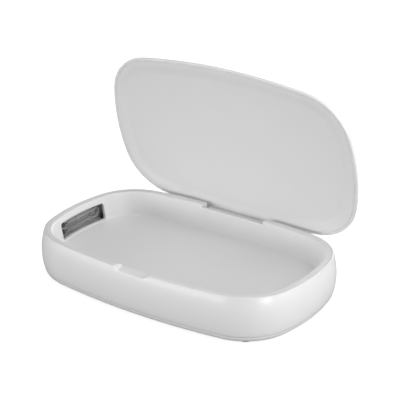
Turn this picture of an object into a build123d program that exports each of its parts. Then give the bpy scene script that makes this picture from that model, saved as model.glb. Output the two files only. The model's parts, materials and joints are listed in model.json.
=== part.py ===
from build123d import *
from math import atan2, cos, degrees, hypot, radians, sin, sqrt
import os

os.makedirs("parts", exist_ok=True)

# ---------------------------------------------------------------------------
# UV sanitizer box for phones.  Millimetres, +Z up, X along the box, +Y to the
# hinge.  The origin is on the table, in the middle of the four feet.
# ---------------------------------------------------------------------------

# Outline of the case from above: side, corner and end arcs, all tangent
case_length = 194.8
case_width = 120.7
side_radius = 426.0
end_radius = 124.5
corner_radius = 37.7

# Heights of the base
foot_height = 1.2
base_height = 30.3
belly_height = 16.1
cover_height = 4.5

# Barrel-shaped wall
bottom_inset = 5.4
rim_inset = 2.2
shell_wall = 2.0
rim_edge_radius = 0.5

# Ring round the tray, split between the shell and the liner
ring_width = 5.2
ring_seam = 1.2
seam_gap = 0.15
flange_thickness = 2.6
ledge_width = 0.7
ledge_thickness = 1.0

# Tray liner
tray_depth = 16.1
tray_lean = 3.0
tray_wall = 1.6
tray_floor = 1.8
tray_floor_radius = 2.0
tray_edge_radius = 0.6

# Lamp windows in both end walls of the tray
window_width = 44.4
window_sill = 0.5
window_height = 11.5
window_corner = 1.5

# Finger notch at the front
notch_floor_width = 20.0
notch_side_run = 1.9
notch_inner_depth = 0.9
notch_fall = 0.24

# Hinge
hinge_back = 5.36
hinge_drop = 6.7
lid_open_angle = 76.8
pin_diameter = 2.0
pin_length = 60.4
running_clearance = 0.03
press_clearance = 0.01
barrel_radius = 1.8
knuckle_width = 48.8
knuckle_end_clearance = 0.4
drum_radius = 4.75
drum_top_angle = 58.0
drum_bottom_angle = -30.0
hinge_clearance = 0.4
barrel_gap = 0.24
notched_wall_top = 2.4
shell_notch_drop = 2.9

# Lid
lid_gap = 0.3
lid_height = 8.0
lid_inset = 0.3
lid_edge_radius = 0.8
lid_side_height = 1.2
lid_dome_width = 22.0
lid_wall = 2.0
panel_rim_width = 3.5
panel_cove_width = 8.0
panel_cove_depth = 1.3
panel_thickness = 1.6
panel_edge_gap = 0.1

# Bottom cover
cover_plate = 2.0
cover_lip_width = 1.25
cover_lip_height = 2.3

# Feet and the screws above them
foot_diameter = 10.0
foot_recess = 0.8
foot_margin = 1.0
foot_bearing = 55.0
foot_edge_radius = 0.4
pillar_diameter = 9.4
pillar_height = 4.8
cover_screw_diameter = 2.5
cover_screw_head = 5.2
cover_screw_head_height = 1.8
cover_screw_length = 7.0
cover_hole_spare = 0.5
screw_play = 0.3
boss_diameter = 7.0

# Hinge brackets
bracket_thickness = 2.0
bracket_depth = 3.2
bracket_foot_thickness = 1.6
bracket_foot_width = 9.0
bracket_foot_rear = 0.5
bracket_screw_gap = 0.4
bracket_screw_reach = 8.4
bracket_boss_height = 2.7
bracket_boss_diameter = 6.0
hinge_screw_diameter = 2.2
hinge_screw_head = 4.2
hinge_screw_head_height = 1.4
hinge_screw_length = 3.9
clip_thickness = 0.57
clip_width = 2.6
clip_gap = 0.4

# Lamps
lamp_diameter = 2.8
lamp_pitch = 5.4
lamp_setback = 0.3
lamp_leg_start = -20.0
lamp_bend_start = 17.2
reflector_thickness = 0.4
reflector_back_gap = 0.15
reflector_width = 48.0
reflector_ceiling_gap = 0.65
lamp_room = 2.0
holder_length = 6.0
holder_depth = 3.4
holder_end_gap = 0.4
holder_play = 0.05
holder_corner = 0.6

# Boards
board_thickness = 1.6
board_standoff = 4.2
standoff_diameter = 5.0
board_screw_diameter = 2.0
board_screw_head = 3.8
board_screw_head_height = 1.3
board_screw_length = 5.0
board_screw_margin = 4.5
main_board_x = -35.0
main_board_length = 52.0
main_board_width = 70.0
main_board_gap = 0.4
inverter_board_x = 40.0
inverter_board_y = -3.0
inverter_board_length = 60.0
inverter_board_width = 42.0

# Components, placed from the middle of their board
controller_size = 10.0
controller_height = 1.6
capacitor_x = -15.0
capacitor_y = 10.0
capacitor_pitch = 8.0
capacitor_diameter = 6.2
capacitor_height = 4.0
inductor_x = 13.0
inductor_y = 12.0
inductor_pitch = 10.0
inductor_size = 7.0
inductor_corner = 1.0
inductor_height = 3.8
connector_x = -1.0
connector_y = -26.0
connector_pitch = 12.0
connector_length = 8.0
connector_width = 5.0
connector_height = 4.0
core_length = 18.0
core_width = 15.0
core_plate = 1.0
core_leg_width = 8.0
core_leg_height = 3.2
coil_length = 11.0
coil_width = 14.0
coil_height = 2.8
coil_corner = 2.0

# USB-C inlet in the rear wall
usb_x = -45.0
usb_width = 8.94
usb_height = 3.2
usb_depth = 7.3
usb_recess = 0.5
usb_play = 0.25
usb_wall = 0.35
usb_tongue = 0.7
usb_tongue_gap = 0.85
usb_back = 1.0
usb_board_width = 14.0
usb_board_overlap = 2.0

# Power button and indicator in the rear wall
button_x = 50.0
button_z = 10.6
button_diameter = 8.0
button_play = 0.3
button_proud = 0.5
button_travel = 0.8
button_flange_diameter = 9.6
button_flange_thickness = 1.0
button_flange_gap = 0.3
button_lip_room = 2.0
button_nub_diameter = 2.5
button_nub_length = 0.75
switch_gap = 0.1
switch_body = 4.5
switch_body_height = 1.4
switch_plunger_diameter = 2.0
switch_plunger_height = 0.6
button_board_width = 20.0
button_board_thickness = 1.2
button_board_shift = -2.0
board_groove_play = 0.2
indicator_offset = -9.0
light_pipe_diameter = 2.5
led_size = 2.0
led_height = 1.0
light_pipe_gap = 0.3
post_width = 3.0
post_depth = 4.0
post_height = 7.0

# Lid catch
magnet_length = 12.0
magnet_width = 1.8
magnet_height = 2.0
magnet_x = 30.0
lid_magnet_height = 0.8
lid_magnet_inset = 5.2
lid_magnet_seat = 2.7
lid_magnet_margin = 2.0
sensor_length = 9.0
sensor_x = 48.0
sensor_thickness = 0.8

# How far cuts and joined pieces reach past a face, so that they meet it cleanly
overrun = 2.0
merge = 0.5

# ---------------------------------------------------------------------------
# Worked out from the sizes above
# ---------------------------------------------------------------------------
half_length = case_length / 2
half_width = case_width / 2
rim_z = foot_height + base_height
belly_z = foot_height + belly_height
cover_top_z = foot_height + cover_height
floor_z = rim_z - tray_depth
tray_bottom_z = floor_z - tray_floor
plate_top_z = foot_height + cover_plate

side_centre = half_width - side_radius
end_centre = half_length - end_radius

# Centre of the corner arc, which touches the side arc and the end arc inside
span = hypot(end_centre, side_centre)
to_side = side_radius - corner_radius
to_end = end_radius - corner_radius
along = (to_side**2 - to_end**2 + span**2) / (2 * span)
across = sqrt(to_side**2 - along**2)
corner_x = (along * end_centre - across * side_centre) / span
corner_y = side_centre - (along * side_centre + across * end_centre) / span
side_corner_angle = degrees(atan2(corner_y - side_centre, corner_x))
corner_end_angle = degrees(atan2(corner_y, corner_x - end_centre))

hinge_y = half_width - hinge_back
hinge_z = rim_z - hinge_drop
lid_bottom_z = rim_z + lid_gap
hinge_axis = Axis((0, hinge_y, hinge_z), (1, 0, 0))

ring_seam_inset = rim_inset + ring_seam
ring_inner_inset = rim_inset + ring_width
floor_inset = ring_inner_inset + tray_lean
tray_slope = tray_lean / tray_depth
flange_z = rim_z - flange_thickness


def wall_inset(z):
    """Inset of the outside of the barrel-shaped wall at height z."""
    if z < belly_z:
        drop = (belly_z - z) / belly_height
        return bottom_inset * (1 - sqrt(1 - drop**2))
    return rim_inset * ((z - belly_z) / (rim_z - belly_z)) ** 2


def tray_inset(z):
    """Inset of the leaning inside of the tray wall at height z."""
    return ring_inner_inset + (rim_z - z) * tray_slope


def tray_back_inset(z):
    """Inset of the hidden outside of the tray wall at height z."""
    top_inset = tray_inset(flange_z) - tray_wall
    rise = (flange_z - z) / (flange_z - tray_bottom_z)
    return top_inset + (floor_inset - tray_wall - top_inset) * rise


def side_y(x, inset=0.0):
    """Distance of the rear side arc from the long axis at x."""
    return side_centre + sqrt((side_radius - inset) ** 2 - x**2)


def draw_outline(inset=0.0):
    """Closed outline of tangent arcs, a true offset of the case outline."""
    side_sweep = 90 - side_corner_angle
    corner_sweep = side_corner_angle - corner_end_angle
    arcs = [
        ((0, -side_centre), side_radius, 270, side_sweep),
        ((corner_x, -corner_y), corner_radius, 360 - side_corner_angle, corner_sweep),
        ((end_centre, 0), end_radius, -corner_end_angle, 2 * corner_end_angle),
        ((corner_x, corner_y), corner_radius, corner_end_angle, corner_sweep),
        ((0, side_centre), side_radius, side_corner_angle, 2 * side_sweep),
        ((-corner_x, corner_y), corner_radius, 180 - side_corner_angle, corner_sweep),
        ((-end_centre, 0), end_radius, 180 - corner_end_angle, 2 * corner_end_angle),
        ((-corner_x, -corner_y), corner_radius, 180 + corner_end_angle, corner_sweep),
        ((0, -side_centre), side_radius, 180 + side_corner_angle, side_sweep),
    ]
    for centre, radius, start, sweep_angle in arcs:
        CenterArc(centre, radius - inset, start, sweep_angle)


def front_strip(middle, length, outer_inset, inner_inset):
    """Strip that follows the front side arc between two insets."""
    start = 270 + degrees((middle - length / 2) / side_radius)
    turn = degrees(length / side_radius)
    outer = CenterArc((0, -side_centre), side_radius - outer_inset, start, turn)
    inner = CenterArc((0, -side_centre), side_radius - inner_inset, start, turn)
    Line(outer @ 0, inner @ 0)
    Line(outer @ 1, inner @ 1)


def barrel_curve(z_start, z_end, offset=0.0):
    """Arc along the wall from one height to another."""
    z_middle = (z_start + z_end) / 2
    ThreePointArc(
        (wall_inset(z_start) + offset, z_start),
        (wall_inset(z_middle) + offset, z_middle),
        (wall_inset(z_end) + offset, z_end),
    )


def draw_notch():
    """Finger notch, drawn in notch_plane: a flat floor with leaning sides."""
    depth = notch_inner_depth + overrun
    Polygon(
        (-notch_floor_width / 2, -notch_inner_depth),
        (notch_floor_width / 2, -notch_inner_depth),
        (notch_floor_width / 2 + depth * notch_side_run, overrun),
        (-notch_floor_width / 2 - depth * notch_side_run, overrun),
        align=None,
    )


def draw_rear_roll():
    """All that lies above the round over the hinge axis, drawn in the YZ plane."""
    roll = CenterArc((hinge_y, hinge_z), hinge_drop, 0, 90)
    far_y = hinge_y + 2 * hinge_drop
    Polyline(roll @ 1, (hinge_y, rim_z + overrun), (far_y, rim_z + overrun), (far_y, hinge_z), roll @ 0)


def screw_places(board_x, board_y, length, width):
    """Places of the four screws near the corners of a board."""
    reach_x = length / 2 - board_screw_margin
    reach_y = width / 2 - board_screw_margin
    return [(board_x + side * reach_x, board_y + end * reach_y) for side in (-1, 1) for end in (-1, 1)]


def swing_open(part):
    """Turns a lid piece from its closed place to its open rest place."""
    return part.rotate(hinge_axis, -lid_open_angle)


# Wall sections lie in this plane: its x is the inset, its y the height
section_plane = Plane(origin=(0, -half_width, 0), x_dir=(0, 1, 0), z_dir=(1, 0, 0))
# The finger notch falls outwards from the inner edge of the ring
notch_plane = Plane(origin=(0, ring_inner_inset - half_width, rim_z), x_dir=(1, 0, 0),
                    z_dir=(0, -1, -notch_fall))

# Places shared by several pieces
foot_reach = corner_radius - bottom_inset - foot_margin - foot_diameter / 2
foot_x = corner_x + foot_reach * cos(radians(foot_bearing))
foot_y = corner_y + foot_reach * sin(radians(foot_bearing))
foot_places = [(foot_x, foot_y), (-foot_x, foot_y), (-foot_x, -foot_y), (foot_x, -foot_y)]
pillar_top_z = plate_top_z + pillar_height
head_seat_z = plate_top_z + cover_screw_head_height

knuckle_half = knuckle_width / 2
notch_half = knuckle_half + knuckle_end_clearance
bracket_foot_z = tray_bottom_z - bracket_boss_height - bracket_foot_thickness
bracket_screw_x = notch_half + bracket_foot_width / 2 + bracket_screw_gap
bracket_screw_y = hinge_y - bracket_screw_reach
bracket_places = [(bracket_screw_x, bracket_screw_y), (-bracket_screw_x, bracket_screw_y)]
bracket_foot_front = bracket_screw_y - bracket_foot_width / 2

window_bottom_z = floor_z + window_sill
window_middle_z = window_bottom_z + window_height / 2
board_z = plate_top_z + board_standoff
board_top_z = board_z + board_thickness
main_board_rear = bracket_foot_front - main_board_gap
main_board_y = main_board_rear - main_board_width / 2
main_board_screws = screw_places(main_board_x, main_board_y, main_board_length, main_board_width)
inverter_screws = screw_places(inverter_board_x, inverter_board_y, inverter_board_length,
                               inverter_board_width)
usb_z = board_top_z + usb_height / 2
wall_outer_usb_y = side_y(usb_x) - wall_inset(usb_z)
button_face_y = side_y(button_x) - wall_inset(button_z) + button_proud
button_low_z = button_z - button_flange_diameter / 2
button_far_x = button_x + button_flange_diameter / 2
button_flange_y = (
    side_y(button_far_x) - wall_inset(button_low_z) - shell_wall - button_flange_gap
)
nub_tip_y = button_flange_y - button_flange_thickness - button_nub_length
plunger_tip_y = nub_tip_y - button_travel - switch_gap
switch_top_y = plunger_tip_y - switch_plunger_height
button_board_y = switch_top_y - switch_body_height - button_board_thickness
indicator_x = button_x + indicator_offset
button_board_front = button_board_y + button_board_thickness
button_board_x = button_x + indicator_offset / 2 - button_board_shift
lip_outer_inset = wall_inset(cover_top_z) + shell_wall + seam_gap

# ---------------------------------------------------------------------------
# Base shell: barrel-shaped wall with the outer part of the ring
# ---------------------------------------------------------------------------
with BuildPart() as base_shell:
    with BuildLine() as shell_path:
        draw_outline()
    with BuildSketch(section_plane):
        with BuildLine():
            barrel_curve(cover_top_z, belly_z)
            rim_start_z = rim_z - rim_edge_radius
            barrel_curve(belly_z, rim_start_z)
            edge_out = wall_inset(rim_start_z)
            RadiusArc((edge_out, rim_start_z), (edge_out + rim_edge_radius, rim_z), rim_edge_radius)
            ledge_tip = ring_seam_inset + ledge_width
            under_z = flange_z - ledge_thickness
            wall_under = wall_inset(under_z) + shell_wall
            chamfer_z = under_z - (ledge_tip - wall_under)
            Polyline(
                (edge_out + rim_edge_radius, rim_z),
                (ring_seam_inset, rim_z),
                (ring_seam_inset, flange_z),
                (ledge_tip, flange_z),
                (ledge_tip, under_z),
                (wall_inset(chamfer_z) + shell_wall, chamfer_z),
            )
            barrel_curve(chamfer_z, belly_z, shell_wall)
            barrel_curve(belly_z, cover_top_z, shell_wall)
            Line(
                (wall_inset(cover_top_z) + shell_wall, cover_top_z),
                (wall_inset(cover_top_z), cover_top_z),
            )
        make_face()
    sweep(path=shell_path.wires()[0])
    # Finger notch at the front
    with BuildSketch(notch_plane):
        draw_notch()
    extrude(amount=ring_inner_inset + overrun, mode=Mode.SUBTRACT)
    # The rear rim rolls down round the hinge axis, so that the lid can turn
    with BuildSketch(Plane.YZ):
        with BuildLine():
            draw_rear_roll()
        make_face()
    extrude(amount=half_length, both=True, mode=Mode.SUBTRACT)
    # Opening for the knuckle
    with BuildSketch(Plane.YZ):
        with Locations((hinge_y, hinge_z)):
            Circle(drum_radius + hinge_clearance)
        with Locations((half_width - ring_inner_inset, hinge_z - shell_notch_drop)):
            Rectangle(ring_inner_inset + overrun, hinge_drop + shell_notch_drop + overrun,
                      align=(Align.MIN, Align.MIN))
    extrude(amount=notch_half, both=True, mode=Mode.SUBTRACT)
    # Rear openings: USB-C inlet, power button and indicator
    with BuildSketch(Plane.XZ.offset(-hinge_y + hinge_back)):
        with Locations((usb_x, usb_z)):
            SlotOverall(usb_width + 2 * usb_play, usb_height + 2 * usb_play)
        with Locations((button_x, button_z)):
            Circle(button_diameter / 2 + button_play)
        with Locations((indicator_x, button_z)):
            Circle(light_pipe_diameter / 2 + press_clearance)
    extrude(amount=-2 * hinge_back - overrun, mode=Mode.SUBTRACT)
    # The ledge is cut back behind both lamps
    with BuildSketch(Plane.XY.offset(chamfer_z - seam_gap)):
        with Locations((half_length, 0), (-half_length, 0)):
            Rectangle(2 * ring_inner_inset, reflector_width + 2 * lamp_room)
        with BuildLine():
            draw_outline(wall_under)
        make_face(mode=Mode.INTERSECT)
    extrude(amount=flange_z - chamfer_z + seam_gap, mode=Mode.SUBTRACT)
base_shell.part.label = "base_shell"
export_step(base_shell.part, "parts/base_shell.step")

# ---------------------------------------------------------------------------
# Tray liner: ring flange, leaning wall and floor in one moulding
# ---------------------------------------------------------------------------
with BuildPart() as tray_liner:
    with BuildLine() as tray_path:
        draw_outline()
    with BuildSketch(section_plane):
        flange_out = ring_seam_inset + seam_gap
        edge_z = rim_z - tray_edge_radius
        foot_in_z = floor_z + tray_floor_radius
        floor_edge = floor_inset + tray_floor_radius
        with BuildLine():
            RadiusArc((ring_inner_inset - tray_edge_radius, rim_z), (tray_inset(edge_z), edge_z),
                      tray_edge_radius)
            Line((tray_inset(edge_z), edge_z), (tray_inset(foot_in_z), foot_in_z))
            RadiusArc((tray_inset(foot_in_z), foot_in_z), (floor_edge, floor_z), -tray_floor_radius)
            Polyline(
                (floor_edge, floor_z),
                (floor_edge, tray_bottom_z),
                (floor_inset - tray_wall, tray_bottom_z),
                (tray_inset(flange_z) - tray_wall, flange_z),
                (flange_out, flange_z),
                (flange_out, rim_z),
                (ring_inner_inset - tray_edge_radius, rim_z),
            )
        make_face()
    sweep(path=tray_path.wires()[0])
    with BuildSketch(Plane.XY.offset(tray_bottom_z)):
        with BuildLine():
            draw_outline(floor_edge - merge)
        make_face()
    extrude(amount=tray_floor)
    # Screw bosses under the floor, over the feet and over the hinge brackets
    with BuildSketch(Plane.XY.offset(pillar_top_z)):
        with Locations(*foot_places):
            Circle(boss_diameter / 2)
    extrude(amount=tray_bottom_z - pillar_top_z + tray_floor / 2)
    with BuildSketch(Plane.XY.offset(tray_bottom_z - bracket_boss_height)):
        with Locations(*bracket_places):
            Circle(bracket_boss_diameter / 2)
    extrude(amount=bracket_boss_height + tray_floor / 2)
    with BuildSketch(Plane.XY.offset(pillar_top_z)):
        with Locations(*foot_places):
            Circle(cover_screw_diameter / 2)
    extrude(amount=head_seat_z + cover_screw_length - pillar_top_z + cover_hole_spare,
            mode=Mode.SUBTRACT)
    with BuildSketch(Plane.XY.offset(tray_bottom_z - bracket_boss_height)):
        with Locations(*bracket_places):
            Circle(hinge_screw_diameter / 2)
    extrude(amount=bracket_boss_height, mode=Mode.SUBTRACT)
    # Lamp windows in both end walls
    with BuildSketch(Plane.YZ):
        with Locations((0, window_middle_z)):
            RectangleRounded(window_width, window_height, window_corner)
    extrude(amount=half_length - ring_inner_inset + tray_wall, both=True, mode=Mode.SUBTRACT)
    # Finger notch at the front
    with BuildSketch(notch_plane.offset(-tray_edge_radius - overrun)):
        draw_notch()
    extrude(amount=ring_inner_inset + tray_edge_radius + 2 * overrun, mode=Mode.SUBTRACT)
    # The rear rim rolls down with the shell
    with BuildSketch(Plane.YZ):
        with BuildLine():
            draw_rear_roll()
        make_face()
    extrude(amount=half_length, both=True, mode=Mode.SUBTRACT)
    # Opening for the knuckle, and a thinner wall in front of its barrel
    with BuildSketch(Plane.YZ):
        wall_back = hinge_y - barrel_radius - running_clearance - barrel_gap
        low_z = tray_bottom_z
        top_z = rim_z - notched_wall_top
        Polygon(
            (wall_back - (hinge_z - low_z) * tray_slope, low_z),
            (wall_back + (top_z - hinge_z) * tray_slope, top_z),
            (half_width - floor_inset, top_z),
            (half_width - floor_inset, rim_z + overrun),
            (half_width, rim_z + overrun),
            (half_width, low_z),
            align=None,
        )
    extrude(amount=notch_half, both=True, mode=Mode.SUBTRACT)
tray_liner.part.label = "tray_liner"
export_step(tray_liner.part, "parts/tray_liner.step")

# ---------------------------------------------------------------------------
# Bottom cover: plate with a lip inside the shell, pillars, standoffs, posts
# ---------------------------------------------------------------------------
post_y = button_board_y + button_board_thickness / 2
post_places = [(button_board_x - button_board_width / 2, post_y),
               (button_board_x + button_board_width / 2, post_y)]
with BuildPart() as bottom_cover:
    with BuildLine() as cover_path:
        draw_outline()
    with BuildSketch(section_plane):
        lip_inner_inset = lip_outer_inset + cover_lip_width
        lip_top_z = cover_top_z + cover_lip_height
        cover_edge_z = cover_top_z - seam_gap
        with BuildLine():
            barrel_curve(foot_height, cover_edge_z)
            Polyline(
                (wall_inset(cover_edge_z), cover_edge_z),
                (lip_outer_inset, cover_edge_z),
                (lip_outer_inset, lip_top_z),
                (lip_inner_inset, lip_top_z),
                (lip_inner_inset, plate_top_z),
                (bottom_inset + cover_plate, plate_top_z),
                (bottom_inset + cover_plate, foot_height),
                (bottom_inset, foot_height),
            )
        make_face()
    sweep(path=cover_path.wires()[0])
    with BuildSketch(Plane.XY.offset(foot_height)):
        with BuildLine():
            draw_outline(bottom_inset + cover_plate - merge)
        make_face()
    extrude(amount=cover_plate)
    with BuildSketch(Plane.XY.offset(foot_height + foot_recess)):
        with Locations(*foot_places):
            Circle(pillar_diameter / 2)
    extrude(amount=pillar_top_z - foot_height - foot_recess)
    with BuildSketch(Plane.XY.offset(foot_height + cover_plate / 2)):
        with Locations(*main_board_screws, *inverter_screws):
            Circle(standoff_diameter / 2)
    extrude(amount=board_z - foot_height - cover_plate / 2)
    with BuildSketch(Plane.XY.offset(plate_top_z)):
        with Locations(*post_places):
            Rectangle(post_width, post_depth)
    extrude(amount=post_height)
    # Recesses for the feet, with counterbored screw holes above them
    with BuildSketch(Plane.XY.offset(foot_height)):
        with Locations(*foot_places):
            Circle(foot_diameter / 2)
    extrude(amount=foot_recess, mode=Mode.SUBTRACT)
    with BuildSketch(Plane.XY.offset(foot_height)):
        with Locations(*foot_places):
            Circle(cover_screw_head / 2 + screw_play)
    extrude(amount=head_seat_z - foot_height, mode=Mode.SUBTRACT)
    with BuildSketch(Plane.XY.offset(head_seat_z)):
        with Locations(*foot_places):
            Circle(cover_screw_diameter / 2 + screw_play / 2)
    extrude(amount=pillar_height, mode=Mode.SUBTRACT)
    with BuildSketch(Plane.XY.offset(board_top_z - board_screw_length)):
        with Locations(*main_board_screws, *inverter_screws):
            Circle(board_screw_diameter / 2)
    extrude(amount=board_screw_length, mode=Mode.SUBTRACT)
    # Groove for the button board, and room in the lip for the button
    with BuildSketch(Plane.XY.offset(plate_top_z)):
        with Locations((button_board_x, post_y)):
            Rectangle(button_board_width, button_board_thickness + board_groove_play)
    extrude(amount=post_height, mode=Mode.SUBTRACT)
    with BuildSketch(Plane.XY.offset(cover_top_z)):
        with Locations((button_x, half_width)):
            Rectangle(button_flange_diameter + button_lip_room, 2 * floor_inset)
    extrude(amount=cover_lip_height, mode=Mode.SUBTRACT)
bottom_cover.part.label = "bottom_cover"
export_step(bottom_cover.part, "parts/bottom_cover.step")

# ---------------------------------------------------------------------------
# Feet and the screws hidden above them
# ---------------------------------------------------------------------------
with BuildPart() as rubber_feet:
    with BuildSketch():
        with Locations(*foot_places):
            Circle(foot_diameter / 2 - press_clearance)
    extrude(amount=foot_height + foot_recess)
    chamfer(rubber_feet.edges().group_by(Axis.Z)[0], length=foot_edge_radius)
rubber_feet.part.label = "rubber_feet"
export_step(rubber_feet.part, "parts/rubber_feet.step")

with BuildPart() as cover_screws:
    with BuildSketch(Plane.XY.offset(head_seat_z - cover_screw_head_height)):
        with Locations(*foot_places):
            Circle(cover_screw_head / 2)
    extrude(amount=cover_screw_head_height)
    with BuildSketch(Plane.XY.offset(head_seat_z)):
        with Locations(*foot_places):
            Circle(cover_screw_diameter / 2 - press_clearance)
    extrude(amount=cover_screw_length)
cover_screws.part.label = "cover_screws"
export_step(cover_screws.part, "parts/cover_screws.step")

# ---------------------------------------------------------------------------
# Lamps: bent reflector, U-shaped quartz tube and rubber holders at both ends
# ---------------------------------------------------------------------------
reflector_inset = wall_under + reflector_back_gap
reflector_top_z = flange_z - reflector_ceiling_gap
reflector_low_z = floor_z - reflector_thickness
lamp_x = half_length - tray_inset(window_middle_z) + lamp_diameter / 2 + lamp_setback
reflector_turn = degrees(reflector_width / 2 / end_radius)
reflector_start = Plane(
    origin=(end_centre, 0, 0),
    x_dir=(cos(radians(reflector_turn)), -sin(radians(reflector_turn)), 0),
    z_dir=(-sin(radians(reflector_turn)), -cos(radians(reflector_turn)), 0),
)
end_axis = Axis((end_centre, 0, 0), (0, 0, 1))
with BuildPart() as reflector_right:
    with BuildSketch(reflector_start):
        back = end_radius - reflector_inset
        low_tip = end_radius - tray_back_inset(floor_z) + seam_gap
        top_tip = end_radius - tray_back_inset(reflector_top_z) + seam_gap
        Polygon(
            (low_tip, reflector_low_z),
            (back, reflector_low_z),
            (back, reflector_top_z),
            (top_tip, reflector_top_z),
            (top_tip, reflector_top_z - reflector_thickness),
            (back - reflector_thickness, reflector_top_z - reflector_thickness),
            (back - reflector_thickness, reflector_low_z + reflector_thickness),
            (low_tip, reflector_low_z + reflector_thickness),
            align=None,
        )
    revolve(axis=end_axis, revolution_arc=2 * reflector_turn)
reflector_right.part.label = "reflector_right"
export_step(reflector_right.part, "parts/reflector_right.step")

with BuildPart() as reflector_left:
    mirror(reflector_right.part, about=Plane.YZ)
reflector_left.part.label = "reflector_left"
export_step(reflector_left.part, "parts/reflector_left.step")

lamp_plane = Plane(origin=(lamp_x, 0, window_middle_z), x_dir=(0, 1, 0), z_dir=(1, 0, 0))
with BuildPart() as uv_lamp_right:
    with BuildLine(lamp_plane) as lamp_path:
        Line((lamp_leg_start, -lamp_pitch / 2), (lamp_bend_start, -lamp_pitch / 2))
        CenterArc((lamp_bend_start, 0), lamp_pitch / 2, -90, 180)
        Line((lamp_bend_start, lamp_pitch / 2), (lamp_leg_start, lamp_pitch / 2))
    with BuildSketch(Plane.XZ.offset(-lamp_leg_start)):
        with Locations((lamp_x, window_middle_z - lamp_pitch / 2)):
            Circle(lamp_diameter / 2)
    sweep(path=lamp_path.wires()[0])
uv_lamp_right.part.label = "uv_lamp_right"
export_step(uv_lamp_right.part, "parts/uv_lamp_right.step")

with BuildPart() as uv_lamp_left:
    mirror(uv_lamp_right.part, about=Plane.YZ)
uv_lamp_left.part.label = "uv_lamp_left"
export_step(uv_lamp_left.part, "parts/uv_lamp_left.step")

holder_low_z = reflector_low_z + reflector_thickness
holder_height = window_bottom_z + window_height - seam_gap - holder_low_z
holder_end = window_width / 2 - holder_end_gap
with BuildPart() as lamp_holders_right:
    with BuildSketch(Plane.XY.offset(holder_low_z)):
        with Locations((lamp_x, holder_length / 2 - holder_end),
                       (lamp_x, holder_end - holder_length / 2)):
            RectangleRounded(holder_depth, holder_length, holder_corner)
    extrude(amount=holder_height)
    with BuildSketch(Plane.XZ.offset(-lamp_leg_start)):
        with Locations((lamp_x, window_middle_z)):
            with GridLocations(0, lamp_pitch, 1, 2):
                Circle(lamp_diameter / 2 + holder_play)
    extrude(amount=-holder_end, mode=Mode.SUBTRACT)
    with BuildSketch(Plane.XZ.offset(-holder_end + holder_length)):
        with Locations((lamp_x, window_middle_z)):
            SlotOverall(lamp_pitch + lamp_diameter + 2 * holder_play, lamp_diameter + 2 * holder_play,
                        rotation=90)
    extrude(amount=-holder_length + holder_end_gap, mode=Mode.SUBTRACT)
lamp_holders_right.part.label = "lamp_holders_right"
export_step(lamp_holders_right.part, "parts/lamp_holders_right.step")

with BuildPart() as lamp_holders_left:
    mirror(lamp_holders_right.part, about=Plane.YZ)
lamp_holders_left.part.label = "lamp_holders_left"
export_step(lamp_holders_left.part, "parts/lamp_holders_left.step")

# ---------------------------------------------------------------------------
# Electronics under the tray
# ---------------------------------------------------------------------------
usb_mouth_y = wall_outer_usb_y - usb_recess
usb_board_end = usb_mouth_y - usb_depth + usb_board_overlap
with BuildPart() as main_board:
    with BuildSketch(Plane.XY.offset(board_z)):
        with Locations((main_board_x, main_board_rear)):
            Rectangle(main_board_length, main_board_width, align=(Align.CENTER, Align.MAX))
        with Locations((usb_x, main_board_rear)):
            Rectangle(usb_board_width, usb_board_end - main_board_rear,
                      align=(Align.CENTER, Align.MIN))
        with Locations(*main_board_screws):
            Circle(board_screw_diameter / 2 + screw_play / 2, mode=Mode.SUBTRACT)
    extrude(amount=board_thickness)
main_board.part.label = "main_board"
export_step(main_board.part, "parts/main_board.step")

board_parts_plane = Plane((main_board_x, main_board_y, board_top_z))
with BuildPart() as board_components:
    # Controller
    with BuildSketch(board_parts_plane):
        Rectangle(controller_size, controller_size)
    extrude(amount=controller_height)
    # Capacitors
    with BuildSketch(board_parts_plane):
        with Locations((capacitor_x, capacitor_y)):
            with GridLocations(0, capacitor_pitch, 1, 2):
                Circle(capacitor_diameter / 2)
    extrude(amount=capacitor_height)
    # Inductors
    with BuildSketch(board_parts_plane):
        with Locations((inductor_x, inductor_y)):
            with GridLocations(0, inductor_pitch, 1, 2):
                RectangleRounded(inductor_size, inductor_size, inductor_corner)
    extrude(amount=inductor_height)
    # Connectors of the lamps and the hinge side
    with BuildSketch(board_parts_plane):
        with Locations((connector_x, connector_y)):
            with GridLocations(connector_pitch, 0, 2, 1):
                Rectangle(connector_length, connector_width)
    extrude(amount=connector_height)
board_components.part.label = "board_components"
export_step(board_components.part, "parts/board_components.step")

with BuildPart() as inverter_board:
    with BuildSketch(Plane.XY.offset(board_z)):
        with Locations((inverter_board_x, inverter_board_y)):
            Rectangle(inverter_board_length, inverter_board_width)
        with Locations(*inverter_screws):
            Circle(board_screw_diameter / 2 + screw_play / 2, mode=Mode.SUBTRACT)
    extrude(amount=board_thickness)
inverter_board.part.label = "inverter_board"
export_step(inverter_board.part, "parts/inverter_board.step")

core_plane = Plane((inverter_board_x, inverter_board_y, board_top_z))
with BuildPart() as inverter_transformer:
    with BuildSketch(core_plane):
        Rectangle(core_length, core_width)
    extrude(amount=core_plate)
    with BuildSketch(core_plane.offset(core_plate)):
        Rectangle(core_length, core_leg_width)
    extrude(amount=core_leg_height)
    with BuildSketch(core_plane.offset(core_plate)):
        RectangleRounded(coil_length, coil_width, coil_corner)
    extrude(amount=coil_height)
inverter_transformer.part.label = "inverter_transformer"
export_step(inverter_transformer.part, "parts/inverter_transformer.step")

with BuildPart() as board_screws:
    with BuildSketch(Plane.XY.offset(board_top_z)):
        with Locations(*main_board_screws, *inverter_screws):
            Circle(board_screw_head / 2)
    extrude(amount=board_screw_head_height)
    with BuildSketch(Plane.XY.offset(board_top_z)):
        with Locations(*main_board_screws, *inverter_screws):
            Circle(board_screw_diameter / 2 - press_clearance)
    extrude(amount=-board_screw_length + screw_play)
board_screws.part.label = "board_screws"
export_step(board_screws.part, "parts/board_screws.step")

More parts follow.
